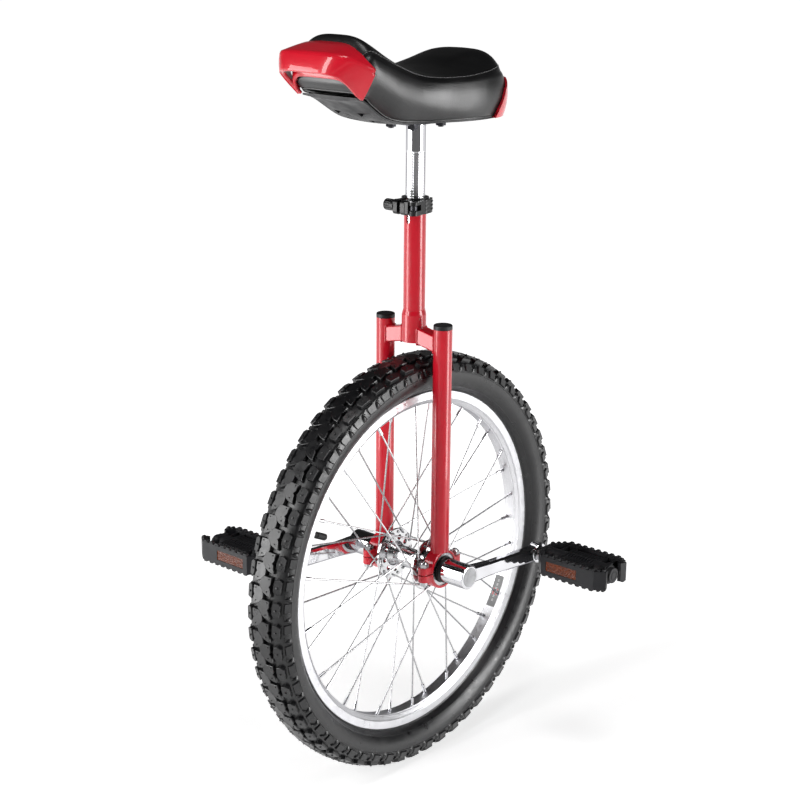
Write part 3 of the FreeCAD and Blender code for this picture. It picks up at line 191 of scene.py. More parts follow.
class Surface:
    """A material whose colour, roughness and bump come from procedural textures in object space."""

    def __init__(self, name, color, roughness, **constants):
        self.material = bpy.data.materials.new(name)
        self.material.use_nodes = True
        self.tree = self.material.node_tree
        self.shader = self.tree.nodes["Principled BSDF"]
        self.shader.inputs["Base Color"].default_value = (*color, 1)
        self.shader.inputs["Roughness"].default_value = roughness
        for socket, value in constants.items():
            self.shader.inputs[socket.replace("_", " ")].default_value = value
        self.place = self.tree.nodes.new("ShaderNodeTexCoord").outputs["Object"]

    def node(self, kind, **settings):
        made = self.tree.nodes.new(kind)
        for key, value in settings.items():
            setattr(made, key, value)
        return made

    def join(self, output, target):
        self.tree.links.new(output, target)

    def stretched(self, scale):
        """Object space scaled by a different amount along each axis."""
        mapping = self.node("ShaderNodeMapping")
        mapping.inputs["Scale"].default_value = scale
        self.join(self.place, mapping.inputs["Vector"])
        return mapping.outputs["Vector"]

    def noise(self, scale, detail=3.0, place=None):
        texture = self.node("ShaderNodeTexNoise")
        texture.inputs["Scale"].default_value = scale
        texture.inputs["Detail"].default_value = detail
        texture.inputs["Roughness"].default_value = NOISE_ROUGHNESS
        self.join(place or self.place, texture.inputs["Vector"])
        return texture.outputs["Fac"]

    def cells(self, scale):
        texture = self.node("ShaderNodeTexVoronoi", feature="F1")
        texture.inputs["Scale"].default_value = scale
        self.join(self.place, texture.inputs["Vector"])
        return texture.outputs["Distance"]

    def ramp(self, value, low, high):
        """Maps a texture value between two grey levels or colours."""
        made = self.node("ShaderNodeValToRGB")
        first, last = made.color_ramp.elements
        first.position, last.position = RAMP_ENDS
        first.color, last.color = as_color(low), as_color(high)
        self.join(value, made.inputs["Fac"])
        return made.outputs["Color"]

    def vary_color(self, low, high, scale, **kw):
        self.join(self.ramp(self.noise(scale, **kw), low, high), self.shader.inputs["Base Color"])
        return self

    def vary_roughness(self, low, high, scale, **kw):
        self.join(self.ramp(self.noise(scale, **kw), low, high), self.shader.inputs["Roughness"])
        return self

    def bump(self, height, distance, strength=1.0):
        """Adds a bump layer over any earlier one. distance is the depth in metres."""
        bump = self.node("ShaderNodeBump")
        bump.inputs["Distance"].default_value = distance
        bump.inputs["Strength"].default_value = strength
        self.join(height, bump.inputs["Height"])
        normal = self.shader.inputs["Normal"]
        if normal.links:
            self.join(normal.links[0].from_socket, bump.inputs["Normal"])
        self.join(bump.outputs["Normal"], normal)
        return self


def as_color(value):
    return (value, value, value, 1) if isinstance(value, float) else (*value, 1)


def shades(color, spread):
    """A darker and a lighter version of a colour."""
    return tuple(c * (1 - spread) for c in color), tuple(min(1.0, c * (1 + spread)) for c in color)


def painted(name, color):
    """Glossy enamel: clear coat, faint orange peel and slow shade changes."""
    s = Surface(name, color, 0.3, Coat_Weight=0.7, Coat_Roughness=0.03, Specular_IOR_Level=0.2)
    s.vary_color(*shades(color, 0.08), 9.0)
    return s.vary_roughness(0.28, 0.36, 40.0).bump(s.noise(260.0, 1.0), 0.00001)


def moulded(name, color, roughness=0.5, grain=900.0):
    """Injection-moulded plastic with a fine spark texture."""
    s = Surface(name, color, roughness, Specular_IOR_Level=0.32)
    s.vary_color(*shades(color, 0.25), 30.0)
    s.vary_roughness(roughness - 0.10, roughness + 0.12, 60.0)
    return s.bump(s.noise(grain, 2.0), 0.00006)


def bright_metal(name, color, roughness, scale=(1, 1, 1), grain=300.0, depth=0.000006):
    """Bare or plated metal, with streaks along one direction where scale is uneven."""
    s = Surface(name, color, roughness, Metallic=1.0, Specular_Tint=(0.3, 0.3, 0.32, 1))
    place = s.stretched(scale)
    s.vary_color(*shades(color, 0.06), grain * 0.3, place=place)
    s.vary_roughness(max(0.02, roughness * 0.7), roughness * 1.4, grain, place=place)
    return s.bump(s.noise(grain, 2.0, place=place), depth)


def make_tyre_rubber():
    s = Surface("tyre_rubber", (0.007, 0.007, 0.008), 0.36, Specular_IOR_Level=0.55)
    s.vary_color((0.004, 0.004, 0.005), (0.010, 0.010, 0.011), 45.0, detail=4.0)
    s.vary_roughness(0.26, 0.42, 120.0)
    return s.bump(s.noise(700.0, 3.0), 0.00012)


def make_vinyl():
    """Leathercloth: fine pebble grain, a few soft creases, satin on the sides."""
    s = Surface("saddle_vinyl", (0.004, 0.004, 0.0045), 0.36, Specular_IOR_Level=0.60)
    s.vary_color((0.003, 0.003, 0.0035), (0.006, 0.006, 0.0065), 60.0, detail=4.0)
    s.vary_roughness(0.32, 0.42, 25.0)
    s.bump(s.noise(14.0, 3.0, place=s.stretched((3.2, 1.0, 0.7))), 0.0012, 0.35)
    return s.bump(s.cells(850.0), 0.00011, 0.7)


def make_materials():
    """One material for each slot of the record, by slot name."""
    made = {
        "red_paint": painted("red_paint", RED),
        "red_plastic": painted("red_plastic", (0.74, 0.010, 0.028)),
        "black_plastic": moulded("black_plastic", BLACK_PLASTIC, 0.46),
        "black_metal": moulded("black_metal", (0.010, 0.010, 0.011), 0.30, 1500.0),
        "steel": bright_metal("steel", (0.50, 0.50, 0.51), 0.26),
        "chrome": bright_metal("chrome", (0.72, 0.72, 0.74), 0.06, grain=120.0, depth=0.000002),
        "cap_silver": moulded("cap_silver", (0.58, 0.58, 0.60), 0.30),
        "seal_rubber": moulded("seal_rubber", (0.012, 0.012, 0.012), 0.6),
        "bronze": bright_metal("bronze", (0.50, 0.32, 0.14), 0.35),
        "tyre_rubber": make_tyre_rubber(),
        "rim_aluminium": bright_metal("rim_aluminium", (0.70, 0.70, 0.72), 0.36, (1, 12, 1), 220.0),
        "saddle_foam": moulded("saddle_foam", (0.25, 0.25, 0.22), 0.9),
        "saddle_vinyl": make_vinyl(),
        "amber_lens": make_lens(),
    }
    return {slot: surface.material for slot, surface in made.items()}


def make_lens():
    """A dark amber reflector with a prism grid under a smooth face."""
    s = Surface("amber_lens", (0.12, 0.022, 0.003), 0.2, Specular_IOR_Level=0.3)
    s.vary_color((0.07, 0.012, 0.002), (0.17, 0.032, 0.004), 300.0)
    return s.bump(s.cells(420.0), 0.0006)


def dress_nodes(materials):
    """Gives every CAD node the material of its slot, or a finish of its own; the saddle bolts and the post
    plate get a near-black metal as painted shade under the saddle.
    """
    slots = {p["node"]: p["material_slot"] for p in frame["record"]["subparts"]}
    other = {
        "hub_shell": bright_metal("hub_plating", (0.74, 0.74, 0.75), 0.17, grain=180.0),
        # painted shade: near-black metal on the saddle bolts and post plate, so they sink into the shade
        # under the saddle
        "saddle_bolts": bright_metal("saddle_bolts_painted_shade", DARK_METAL_AND_PAINTED_SHADE, 0.4),
        "seat_post_plate": bright_metal("post_plate_painted_shade", DARK_METAL_AND_PAINTED_SHADE, 0.4),
        "qr_skewer": bright_metal("dark_skewer", DARK_METAL_AND_PAINTED_SHADE, 0.35),
        "qr_cam_pin": bright_metal("dark_pin", DARK_METAL_AND_PAINTED_SHADE, 0.35),
    }
    for name, node in frame["nodes"].items():
        material = other[name].material if name in other else materials[slots[name]]
        for slot in node.material_slots:
            slot.material = material


# ---- mesh helpers ------------------------------------------------------------------------------------


def new_mesh(name, verts, faces, material, smooth_angle=None):
    mesh = bpy.data.meshes.new(name)
    mesh.from_pydata([tuple(v) for v in verts], [], [tuple(f) for f in faces])
    mesh.validate()
    mesh.materials.append(material)
    if smooth_angle is not None:
        mesh.polygons.foreach_set("use_smooth", [True] * len(mesh.polygons))
        mesh.set_sharp_from_angle(angle=math.radians(smooth_angle))
    made = bpy.data.objects.new(name, mesh)
    bpy.context.scene.collection.objects.link(made)
    return made


def piece(name, verts, faces, body, slot, smooth_angle=35, material=None):
    """A finished piece of the object, riding on a CAD body."""
    made = new_mesh(name, verts, faces, material or MATERIALS[slot], smooth_angle)
    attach(made, body)
    return made


class Mesh:
    """Vertices and faces that grow as shapes are added."""

    def __init__(self):
        self.verts, self.faces = [], []

    def add(self, verts, faces):
        start = len(self.verts)
        self.verts += [tuple(v) for v in verts]
        self.faces += [tuple(start + i for i in f) for f in faces]

    def stack(self, rings, closed=True, caps=True):
        """Joins rings of equal length into a wall, with flat ends if asked."""
        n = len(rings[0])
        faces = []
        for k in range(len(rings) - 1):
            for i in range(n if closed else n - 1):
                j = (i + 1) % n
                faces.append((k * n + i, k * n + j, (k + 1) * n + j, (k + 1) * n + i))
        if caps:
            last = (len(rings) - 1) * n
            faces += [tuple(range(n - 1, -1, -1)), tuple(range(last, last + n))]
        self.add([p for ring in rings for p in ring], faces)


def around_y(angle, radius, y, centre=(0.0, HUB_Z)):
    """A point at an angle from straight up towards +X, round an axis along Y."""
    return centre[0] + radius * math.sin(angle), y, centre[1] + radius * math.cos(angle)


def lathe(profile, segments):
    """Rings of (y, radius) points turned round the hub axis, closed both ways."""
    mesh = Mesh()
    rings = []
    for k in range(segments):
        angle = 2 * math.pi * k / segments
        rings.append([around_y(angle, r, y) for y, r in profile])
    mesh.stack(rings + [rings[0]], caps=False)
    return mesh


def smooth_value(x, table, column):
    """Cubic interpolation through the rows of a table whose first column is x."""
    xs = [row[0] for row in table]
    x = min(max(x, xs[0]), xs[-1])
    k = max(0, min(len(xs) - 2, next((i for i, v in enumerate(xs[1:]) if x <= v), len(xs) - 2)))
    h = xs[k + 1] - xs[k]
    t = (x - xs[k]) / h

    def slope(i):
        lo, hi = max(0, i - 1), min(len(xs) - 1, i + 1)
        return (table[hi][column] - table[lo][column]) / (xs[hi] - xs[lo])

    a, b = table[k][column], table[k + 1][column]
    m0, m1 = slope(k) * h, slope(k + 1) * h
    t2, t3 = t * t, t * t * t
    return (2 * t3 - 3 * t2 + 1) * a + (t3 - 2 * t2 + t) * m0 + (3 * t2 - 2 * t3) * b + (t3 - t2) * m1


def pipe(points, radius, sides=8, closed=False):
    """Rings round a path."""
    points = [Vector(p) for p in points]
    count = len(points)
    rings = []
    across = None
    for i, p in enumerate(points):
        before = points[i - 1] if i or closed else p
        after = points[(i + 1) % count] if i < count - 1 or closed else p
        along = (after - before).normalized()
        if across is None:
            across = along.orthogonal().normalized()
        across = (across - along * across.dot(along)).normalized()
        other = along.cross(across)
        ring = []
        for k in range(sides):
            a = 2 * math.pi * k / sides
            ring.append(p + (across * math.cos(a) + other * math.sin(a)) * radius)
        rings.append(ring)
    if closed:
        rings.append(rings[0])
    return rings


# ---- tyre --------------------------------------------------------------------------------------------

PITCHES = 60
PITCH = 2 * math.pi / PITCHES
TREAD_R = 252 * MM  # radius at which block outlines are laid out
SIDE_Y, SIDE_R, SIDE_RADIUS = 5.0 * MM, 231.5 * MM, 22.6 * MM
SHOULDER = 36.0
CASING_TOP = 249.0 * MM
KNOB = 4.8 * MM
SIDEWALL_RINGS = (232.5 * MM, 214.0 * MM)
RING_SHAPE = ((0.7, 0.0), (0.35, 0.5), (-0.35, 0.5), (-0.7, 0.0))  # along the sidewall and above it, in mm
CASING_SEGMENTS = 360
CASING_INNER_SHARE = 0.86  # of the outside, from the middle of the section
TYRE_BEAD = [(10.6 * MM, 206.5 * MM), (9.0 * MM, 202.0 * MM)]
HALF_PITCH_MM = 0.5 * PITCH * TREAD_R / MM
PHASE = math.radians(2.0)  # where the first pitch sits round the wheel

# tread blocks on the left half: (distance round, distance from the centre line) corners in mm, and height
SCALE_BLOCK = [
    (-11.2, 0.6), (-8.2, -2.2), (-3.5, -4.2), (1.5, -4.2), (6.2, -1.6), (9.8, 3.2), (12.2, 9.0), (12.8, 12.6),
    (4.0, 12.2), (0.6, 10.6), (-3.0, 12.2), (-10.6, 11.8),
]
SHOULDER_BLOCK = [
    (-9.4, 15.4), (-6.0, 14.0), (5.4, 13.8), (8.6, 16.8), (8.0, 23.2), (-7.4, 24.4), (-10.2, 20.0),
]
SIDE_LUG = [(-8.6, 26.4), (3.2, 26.0), (4.8, 29.0), (3.6, 35.0), (-9.4, 35.4)]
SIDE_WEDGE = [(6.6, 26.4), (12.4, 27.0), (9.4, 30.6)]
BLOCKS = [(SCALE_BLOCK, 1.0), (SHOULDER_BLOCK, 0.95), (SIDE_LUG, 0.42), (SIDE_WEDGE, 0.4)]
DOTS = [((0.0, 18.6), 1.3), ((-7.4, 8.4), 0.8), ((6.8, 7.0), 0.8)]


def casing_half():
    """The left half of the casing's outside, from the middle of the tread to the bead, as (y, radius)."""
    shoulder = math.radians(SHOULDER)
    foot_y = SIDE_Y + SIDE_RADIUS * math.cos(shoulder)
    foot_r = SIDE_R + SIDE_RADIUS * math.sin(shoulder) - 1.2 * MM
    points = []
    for k in range(13):
        t = k / 12
        points.append((foot_y * t, CASING_TOP - (CASING_TOP - foot_r) * t ** 2.2))
    for angle in range(30, -75, -5):
        a = math.radians(angle)
        points.append((SIDE_Y + SIDE_RADIUS * math.cos(a), SIDE_R + SIDE_RADIUS * math.sin(a)))
    return points


def tread_point(around, across, height):
    """A point on the tread: distance round and across in mm, height in metres above the casing."""
    side = 1 if across >= 0 else -1
    path = casing_half()
    left = abs(across) * MM
    for (y0, r0), (y1, r1) in zip(path, path[1:]):
        step = math.hypot(y1 - y0, r1 - r0)
        if left <= step:
            break
        left -= step
    dy, dr = (y1 - y0) / step, (r1 - r0) / step
    y, r = y0 + dy * left, r0 + dr * left
    y, r = y - dr * height, r + dy * height
    return around_y(around * MM / TREAD_R, r, side * y)


def shrunk(outline, amount):
    """The outline pulled towards its middle by a length in mm."""
    cx = sum(u for u, _ in outline) / len(outline)
    cy = sum(v for _, v in outline) / len(outline)
    made = []
    for u, v in outline:
        far = math.hypot(u - cx, v - cy)
        k = max(0.0, 1 - amount / far)
        made.append((cx + (u - cx) * k, cy + (v - cy) * k))
    return made


def tread_block(mesh, outline, height, mirror):
    """One rubber knob: sloping sides, a small bevel and a flat top."""
    if mirror:
        outline = [(u + HALF_PITCH_MM, -v) for u, v in reversed(outline)]
    layers = [(0.0, -0.6 * MM), (0.45, 0.3 * height), (0.8, height - 0.5 * MM), (1.35, height)]
    mesh.stack([[tread_point(u, v, h) for u, v in shrunk(outline, inset)] for inset, h in layers])


def dot_on_tread(mesh, spot, radius, mirror):
    """A small raised pip on a block's top."""
    u, v = spot
    turns = [k * math.pi / 4 for k in range(8)]
    ring = [(u + radius * math.cos(a), v + radius * math.sin(a)) for a in turns]
    if mirror:
        ring = [(a + HALF_PITCH_MM, -b) for a, b in reversed(ring)]
    layers = [(0.0, KNOB - 0.4 * MM), (0.15, KNOB + 0.5 * MM), (0.6, KNOB + 0.8 * MM)]
    mesh.stack([[tread_point(a, b, h) for a, b in shrunk(ring, inset)] for inset, h in layers])


def shoulder_gusset(mesh, mirror):
    """The rounded buttress low on the sidewall, between two side lugs."""
    rows = []
    centre = -0.5 * PITCH + (0.5 * PITCH if mirror else 0.0)
    side = -1 if mirror else 1
    for k in range(9):
        down = k / 8
        angle = math.radians(26 - 30 * down)
        half = 4.6 * MM / TREAD_R * math.sqrt(max(0.05, 1 - (1 - down) ** 2))
        row = []
        for j in range(9):
            t = -1 + j / 4
            r = SIDE_RADIUS - 0.4 * MM + 2.6 * MM * (1 - t * t) * math.sin(math.pi * min(1.0, 0.08 + down))
            around = centre + t * half
            row.append(around_y(around, SIDE_R + r * math.sin(angle), side * (SIDE_Y + r * math.cos(angle))))
        rows.append(row)
    mesh.stack(rows, closed=False, caps=False)


def one_pitch():
    """All tread detail of one pitch, both halves, as verts and faces."""
    mesh = Mesh()
    for mirror in (False, True):
        for outline, height in BLOCKS:
            tread_block(mesh, outline, KNOB * height, mirror)
        for spot, radius in DOTS:
            dot_on_tread(mesh, spot, radius, mirror)
        shoulder_gusset(mesh, mirror)
    return mesh


def repeated_round(mesh, count):
    """The mesh copied round the hub axis."""
    points = np.array(mesh.verts) - (0, 0, HUB_Z)
    verts, faces = [], []
    for k in range(count):
        a = PHASE + 2 * math.pi * k / count
        turn = np.array([[math.cos(a), 0, math.sin(a)], [0, 1, 0], [-math.sin(a), 0, math.cos(a)]])
        verts += (points @ turn.T + (0, 0, HUB_Z)).tolist()
        start = k * len(points)
        faces += [tuple(start + i for i in f) for f in mesh.faces]
    return verts, faces


def with_ring(half, radius):
    """The half section with a small raised line at a radius on the sidewall."""
    made = []
    for (y0, r0), (y1, r1) in zip(half, half[1:]):
        made.append((y0, r0))
        if r0 > radius >= r1:
            for offset, lift in RING_SHAPE:
                r = radius + offset * MM
                y = y0 + (y1 - y0) * (r0 - r) / (r0 - r1)
                made.append((y + lift * MM, r))
    return made + half[-1:]


def casing_profile():
    """The whole closed section: outside with raised rings on the sidewall, beads, and a plain inside."""
    half = casing_half()
    for r in SIDEWALL_RINGS:
        half = with_ring(half, r)
    inside = [(y * CASING_INNER_SHARE, SIDE_R + (r - SIDE_R) * CASING_INNER_SHARE) for y, r in reversed(half)]
    left = half + TYRE_BEAD + inside
    return left + [(-y, r) for y, r in reversed(left)]


def make_tyre():
    """The casing and its tread as one piece, in place of the plain CAD tyre."""
    body = lathe(casing_profile(), CASING_SEGMENTS)
    body.add(*repeated_round(one_pitch(), PITCHES))
    tyre = piece("tyre_knobbly", body.verts, body.faces, "wheel", "tyre_rubber", 32)
    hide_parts("tyre")


# ---- saddle ------------------------------------------------------------------------------------------

# x, half width at the belly, half width underneath, height underneath, of the seam, and of the crown, in mm
SADDLE = [
    (-105, 10, 8, 788, 824, 842), (-98, 42, 36, 785, 828, 848), (-80, 63, 57, 783, 830, 852.5),
    (-45, 77, 70, 783, 830, 846.5), (-10, 76, 68, 783, 828, 836.5), (25, 66, 56, 783, 828, 834.5),
    (55, 60, 43, 783, 832, 841.5), (85, 58, 36, 788, 842, 856.5), (113, 57, 37, 803, 853, 871.5),
    (130, 55, 39, 812.5, 859, 877), (140, 50, 40, 815, 854, 867), (150, 42, 33, 820, 843, 849),
]
CROWN_SHARPNESS = [
    (-105, 5.0), (-72, 4.2), (-42, 2.3), (0, 1.9), (60, 2.0), (95, 2.5), (120, 3.2), (150, 3.2),
]
SPINE = (-66.0, 132.0)
SEAM_INSET = 6.0
STITCH_PITCH = 4.4 * MM
STITCH_LENGTH = 2.8 * MM
THREAD_R = 0.45 * MM
WELT_R = 1.0 * MM
WELT_STEP = 3.0 * MM
WELT_DROP = 0.2 * MM
STITCH_SHAPE = ((-1, -0.1), (-0.8, 0.25), (0, 0.35), (0.8, 0.25), (1, -0.1))  # along, above the surface
OUTLINE_STEPS = 84
TOP_RINGS = 18
SIDE_RINGS = 14
PUFF_LIMIT = 1.8 * MM
PUFF_PRESSURE = 4.0
EVENING_ROUNDS = 60
MERGE_DISTANCE = 0.3 * MM
SEAM_PRESS = ((-1, -0.1, 0.2), (0, 0.9, -0.5), (1, -0.4, 0.0))  # ring from the seam, mm inwards, mm up
CLOTH_FRAMES = 20


def saddle_value(x, column):
    return smooth_value(x, SADDLE, column)


def saddle_outline():
    """The belly outline from tail to nose on the left side, as evenly spaced (x, y) points in mm."""
    fine = [(-105.6, 0.0)]
    for k in range(400):
        x = -105 + 255 * k / 399
        fine.append((x, saddle_value(x, 1)))
    fine += [(151.5, 24.0), (152.0, 0.0)]
    lengths = [0.0]
    for a, b in zip(fine, fine[1:]):
        lengths.append(lengths[-1] + math.dist(a, b))
    wanted = np.linspace(0, lengths[-1], OUTLINE_STEPS + 1)
    xs = np.interp(wanted, lengths, [p[0] for p in fine])
    ys = np.interp(wanted, lengths, [p[1] for p in fine])
    left = list(zip(xs, ys))
    return left + [(x, -y) for x, y in reversed(left[1:-1])]


def outline_inward(outline):
    """The unit direction into the saddle at every outline point."""
    made = []
    for k in range(len(outline)):
        (x0, y0), (x1, y1) = outline[k - 1], outline[(k + 1) % len(outline)]
        length = math.hypot(x1 - x0, y1 - y0)
        made.append(((y1 - y0) / length, -(x1 - x0) / length))
    return made


def spine_point(x):
    return min(max(x, SPINE[0]), SPINE[1]), 0.0


def side_ring(outline, inward, t):
    """One loop of the side panel: t runs from 0 at the seam to 1 at the lower edge."""
    ring = []
    for (x, y), (nx, ny) in zip(outline, inward):
        low_inset = min(22.0, saddle_value(x, 1) - saddle_value(x, 2))
        inset = SEAM_INSET * (1 - t) * (1 - 2 * t) + low_inset * t * (2 * t - 1)
        z = saddle_value(x, 4) + (saddle_value(x, 3) - saddle_value(x, 4)) * t
        ring.append((x + nx * inset, y + ny * inset, z))
    return ring


def pulled_in(ring, share, height):
    """A loop drawn towards the saddle's spine by a share, at a height given by (x, seam height)."""
    made = []
    for x, y, z in ring:
        sx, sy = spine_point(x)
        px, py = sx + (x - sx) * share, sy + (y - sy) * share
        made.append((px, py, height(px, z)))
    return made


def cushion_rings():
    """All loops of the cushion from the middle of the top, over the seam, to the middle of the underside."""
    outline = saddle_outline()
    inward = outline_inward(outline)
    seam = side_ring(outline, inward, 0.0)
    rings = []
    for k in range(TOP_RINGS):
        share = 0.001 + 0.999 * (k / TOP_RINGS) ** 0.8

        def crown(x, z, share=share):
            top = saddle_value(x, 5)
            return z + (top - z) * (1 - share ** smooth_value(x, CROWN_SHARPNESS, 1))

        rings.append(pulled_in(seam, share, crown))
    rings += [side_ring(outline, inward, k / SIDE_RINGS) for k in range(SIDE_RINGS + 1)]
    foot = rings[-1]
    for share in (0.9, 0.6, 0.3, 0.001):
        rings.append(pulled_in(foot, share, lambda x, z: z + 1.0))
    return [[(x * MM, y * MM, z * MM) for x, y, z in ring] for ring in rings]


def puffed(cushion, held):
    """The cushion's points after cloth under pressure swells it, held at its seam and lower edge."""
    group = cushion.vertex_groups.new(name="held")
    group.add(held, 1.0, "REPLACE")
    cloth = cushion.modifiers.new("cloth", "CLOTH")
    cloth.settings.quality = 6
    cloth.settings.mass = 0.25
    cloth.settings.tension_stiffness = 18
    cloth.settings.compression_stiffness = 12
    cloth.settings.bending_stiffness = 1.2
    cloth.settings.vertex_group_mass = "held"
    cloth.settings.use_pressure = True
    cloth.settings.uniform_pressure_force = PUFF_PRESSURE
    cloth.settings.effector_weights.gravity = 0.0
    cloth.collision_settings.use_collision = False
    for k in range(1, CLOTH_FRAMES + 1):
        bpy.context.scene.frame_set(k)
    shown = cushion.evaluated_get(bpy.context.evaluated_depsgraph_get())
    points = np.zeros(len(cushion.data.vertices) * 3)
    shown.data.vertices.foreach_get("co", points)
    cushion.modifiers.remove(cloth)
    cushion.vertex_groups.remove(group)
    bpy.context.scene.frame_set(1)
    return points.reshape(-1, 3)


def merged(mesh):
    """The mesh with points that coincide made one, and the new number of each old point."""
    loose = bmesh.new()
    for v in mesh.verts:
        loose.verts.new(v)
    loose.verts.index_update()
    same = bmesh.ops.find_doubles(loose, verts=loose.verts[:], dist=MERGE_DISTANCE)["targetmap"]
    target = {a.index: b.index for a, b in same.items()}
    loose.free()
    kept = [i for i in range(len(mesh.verts)) if i not in target]
    place = {i: k for k, i in enumerate(kept)}
    number = [place[target.get(i, i)] for i in range(len(mesh.verts))]
    faces = []
    for face in mesh.faces:
        corners = list(dict.fromkeys(number[i] for i in face))
        if len(corners) > 2:
            faces.append(corners)
    return [mesh.verts[i] for i in kept], faces, number


def evened(moved, mesh, held):
    """Spreads the movement of each point over its neighbours, so that the panels swell smoothly."""
    edges = np.array([e.vertices[:] for e in mesh.edges])
    count = np.bincount(edges.ravel(), minlength=len(moved)).reshape(-1, 1)
    for _ in range(EVENING_ROUNDS):
        total = np.zeros_like(moved)
        np.add.at(total, edges[:, 0], moved[edges[:, 1]])
        np.add.at(total, edges[:, 1], moved[edges[:, 0]])
        moved = 0.5 * moved + 0.5 * total / count
        moved[held] = 0.0
    return moved


def make_cushion():
    """The upholstered saddle: a crowned top, side panels, and a sewn seam between them."""
    rings = cushion_rings()
    mesh = Mesh()
    mesh.stack(rings, caps=False)
    verts, faces, number = merged(mesh)
    cushion = new_mesh("saddle_cushion", verts, faces, MATERIALS["saddle_vinyl"], 180)
    n = len(rings[0])
    seam_at, edge_at = TOP_RINGS, TOP_RINGS + SIDE_RINGS
    held_rings = (seam_at, edge_at, *range(edge_at + 1, len(rings)))
    held = sorted({number[k * n + i] for k in held_rings for i in range(n)})
    rest = np.array(verts)
    moved = puffed(cushion, held) - rest
    size = np.linalg.norm(moved, axis=1, keepdims=True)
    moved *= np.minimum(1.0, PUFF_LIMIT / np.maximum(size, 1e-9))
    rest = rest + evened(moved, cushion.data, held)
    press_seam(rest, number, seam_at, n)
    cushion.data.vertices.foreach_set("co", rest.ravel())
    smooth = cushion.modifiers.new("smooth", "SUBSURF")
    smooth.levels = smooth.render_levels = 1
    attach(cushion, "seat")
    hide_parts("saddle_foam", "saddle_cover")
    return cushion, rings


def press_seam(points, number, seam_at, n):
    """Sinks the seam's loop and lifts the panels either side of it, so that it reads as a sewn crease."""
    for ring, inward, lift in SEAM_PRESS:
        at = seam_at + ring
        for i in range(at * n, (at + 1) * n):
            x, y, _ = points[number[i]]
            sx, sy = (c * MM for c in spine_point(x / MM))
            away = Vector((x - sx, y - sy, 0)).normalized()
            points[number[i]] += (-away.x * inward * MM, -away.y * inward * MM, lift * MM)


def surface_of(thing):
    return BVHTree.FromObject(thing, bpy.context.evaluated_depsgraph_get())


def evenly(points, spacing):
    """Points of a closed path, spaced evenly along it."""
    points = [Vector(p) for p in points]
    points.append(points[0])
    lengths = [0.0]
    for a, b in zip(points, points[1:]):
        lengths.append(lengths[-1] + (b - a).length)
    count = max(2, round(lengths[-1] / spacing))
    wanted = np.linspace(0, lengths[-1], count, endpoint=False)
    axes = [np.interp(wanted, lengths, [p[k] for p in points]) for k in range(3)]
    return [Vector(p) for p in zip(*axes)]


def make_stitches(cushion, rings):
    """One row of thread just above the seam, laid on the cushion's surface."""
    surface = surface_of(cushion)
    above = zip(rings[TOP_RINGS - 1], rings[TOP_RINGS - 2])
    path = evenly([Vector(a).lerp(Vector(b), 0.35) for a, b in above], STITCH_PITCH)
    mesh = Mesh()
    for k, here in enumerate(path):
        along = (path[(k + 1) % len(path)] - here).normalized()
        spot, normal, _, _ = surface.find_nearest(here)
        points = [spot + along * (t * 0.5 * STITCH_LENGTH) + normal * h * MM for t, h in STITCH_SHAPE]
        mesh.stack(pipe(points, THREAD_R, 5))
    piece("saddle_stitches", mesh.verts, mesh.faces, "seat", "saddle_vinyl", 60, thread().material)


def thread():
    s = Surface("thread", (0.12, 0.12, 0.122), 0.6)
    s.vary_color((0.09, 0.09, 0.092), (0.16, 0.16, 0.162), 2000.0)
    return s.bump(s.noise(3000.0), 0.0001)


def make_edge_piping(cushion, rings):
    """The thin welt where the side panel is folded under, all round the lower edge."""
    surface = surface_of(cushion)
    path = []
    for here in evenly(rings[TOP_RINGS + SIDE_RINGS], WELT_STEP):
        spot = surface.find_nearest(here)[0]
        path.append(spot + Vector((0, 0, -WELT_DROP)))
    mesh = Mesh()
    mesh.stack(pipe(path, WELT_R, 8, closed=True), caps=False)
    piece("saddle_welt", mesh.verts, mesh.faces, "seat", "saddle_vinyl", 60)


# ---- front guard -------------------------------------------------------------------------------------

# columns of the left half, from the middle to the tail end: rear edge, crease and lower lip, in mm
GUARD = [
    ((138, 0, 867.3), (172.2, 0, 859.2), (177.8, 0, 842)),
    ((138.6, 13, 867.2), (171.9, 14, 859.1), (177.5, 14, 842)),
    ((140.2, 25, 866.4), (170.6, 27, 858.8), (176.4, 26, 841.6)),
    ((142.4, 34, 864.6), (168.0, 37, 858.2), (173.6, 34.6, 840.4)),
    ((144.2, 42, 861.6), (163.6, 45, 856.8), (168.6, 40.4, 837.8)),
    ((144.6, 48.5, 857.9), (157.2, 51.2, 854), (161.4, 43.2, 832.8)),
    ((143, 55, 851.8), (148.6, 57, 848.6), (151, 44.2, 824.4)),
    ((139, 61, 844), (137.6, 62.2, 842.3), (138, 44.5, 814)),
]
GUARD_COLUMNS = 12  # for each step of the table
GUARD_WALL = 3.0
INNER_TOP_Z = 853.0
INNER_LIP = [(158, 0, 836), (158, 13, 836), (157.2, 24, 835.6), (155.2, 32.5, 833.6), (151.5, 39.4, 827.6),
             (145, 42.8, 819.5), (138, 44.0, 814.4)]  # foot of the wall behind the fingers
BOSS_AT = (146.0, 832.0)
BOSS_PROFILE = ((5.0, 43.0), (5.0, 37.5), (4.2, 36.6), (2.0, 36.6), (1.8, 38.6))  # radius, then y
BULGE_CENTRE_X = 120
LIP_CENTRE_X = 150
LIP_R = 1.9
TOP_STEPS = (0, 0.3, 0.65, 0.9)  # shares of the way from the rear edge to the crease
FACE_STEPS = (0.04, 0.12, 0.35, 0.65, 0.9, 1.0)  # from the crease to the lip
TOP_BULGE = 0.6
FACE_BULGE = 0.9
INNER_WALL = 2.4
INNER_STEPS = (1.0, 0.6, 0.25, 0.0)


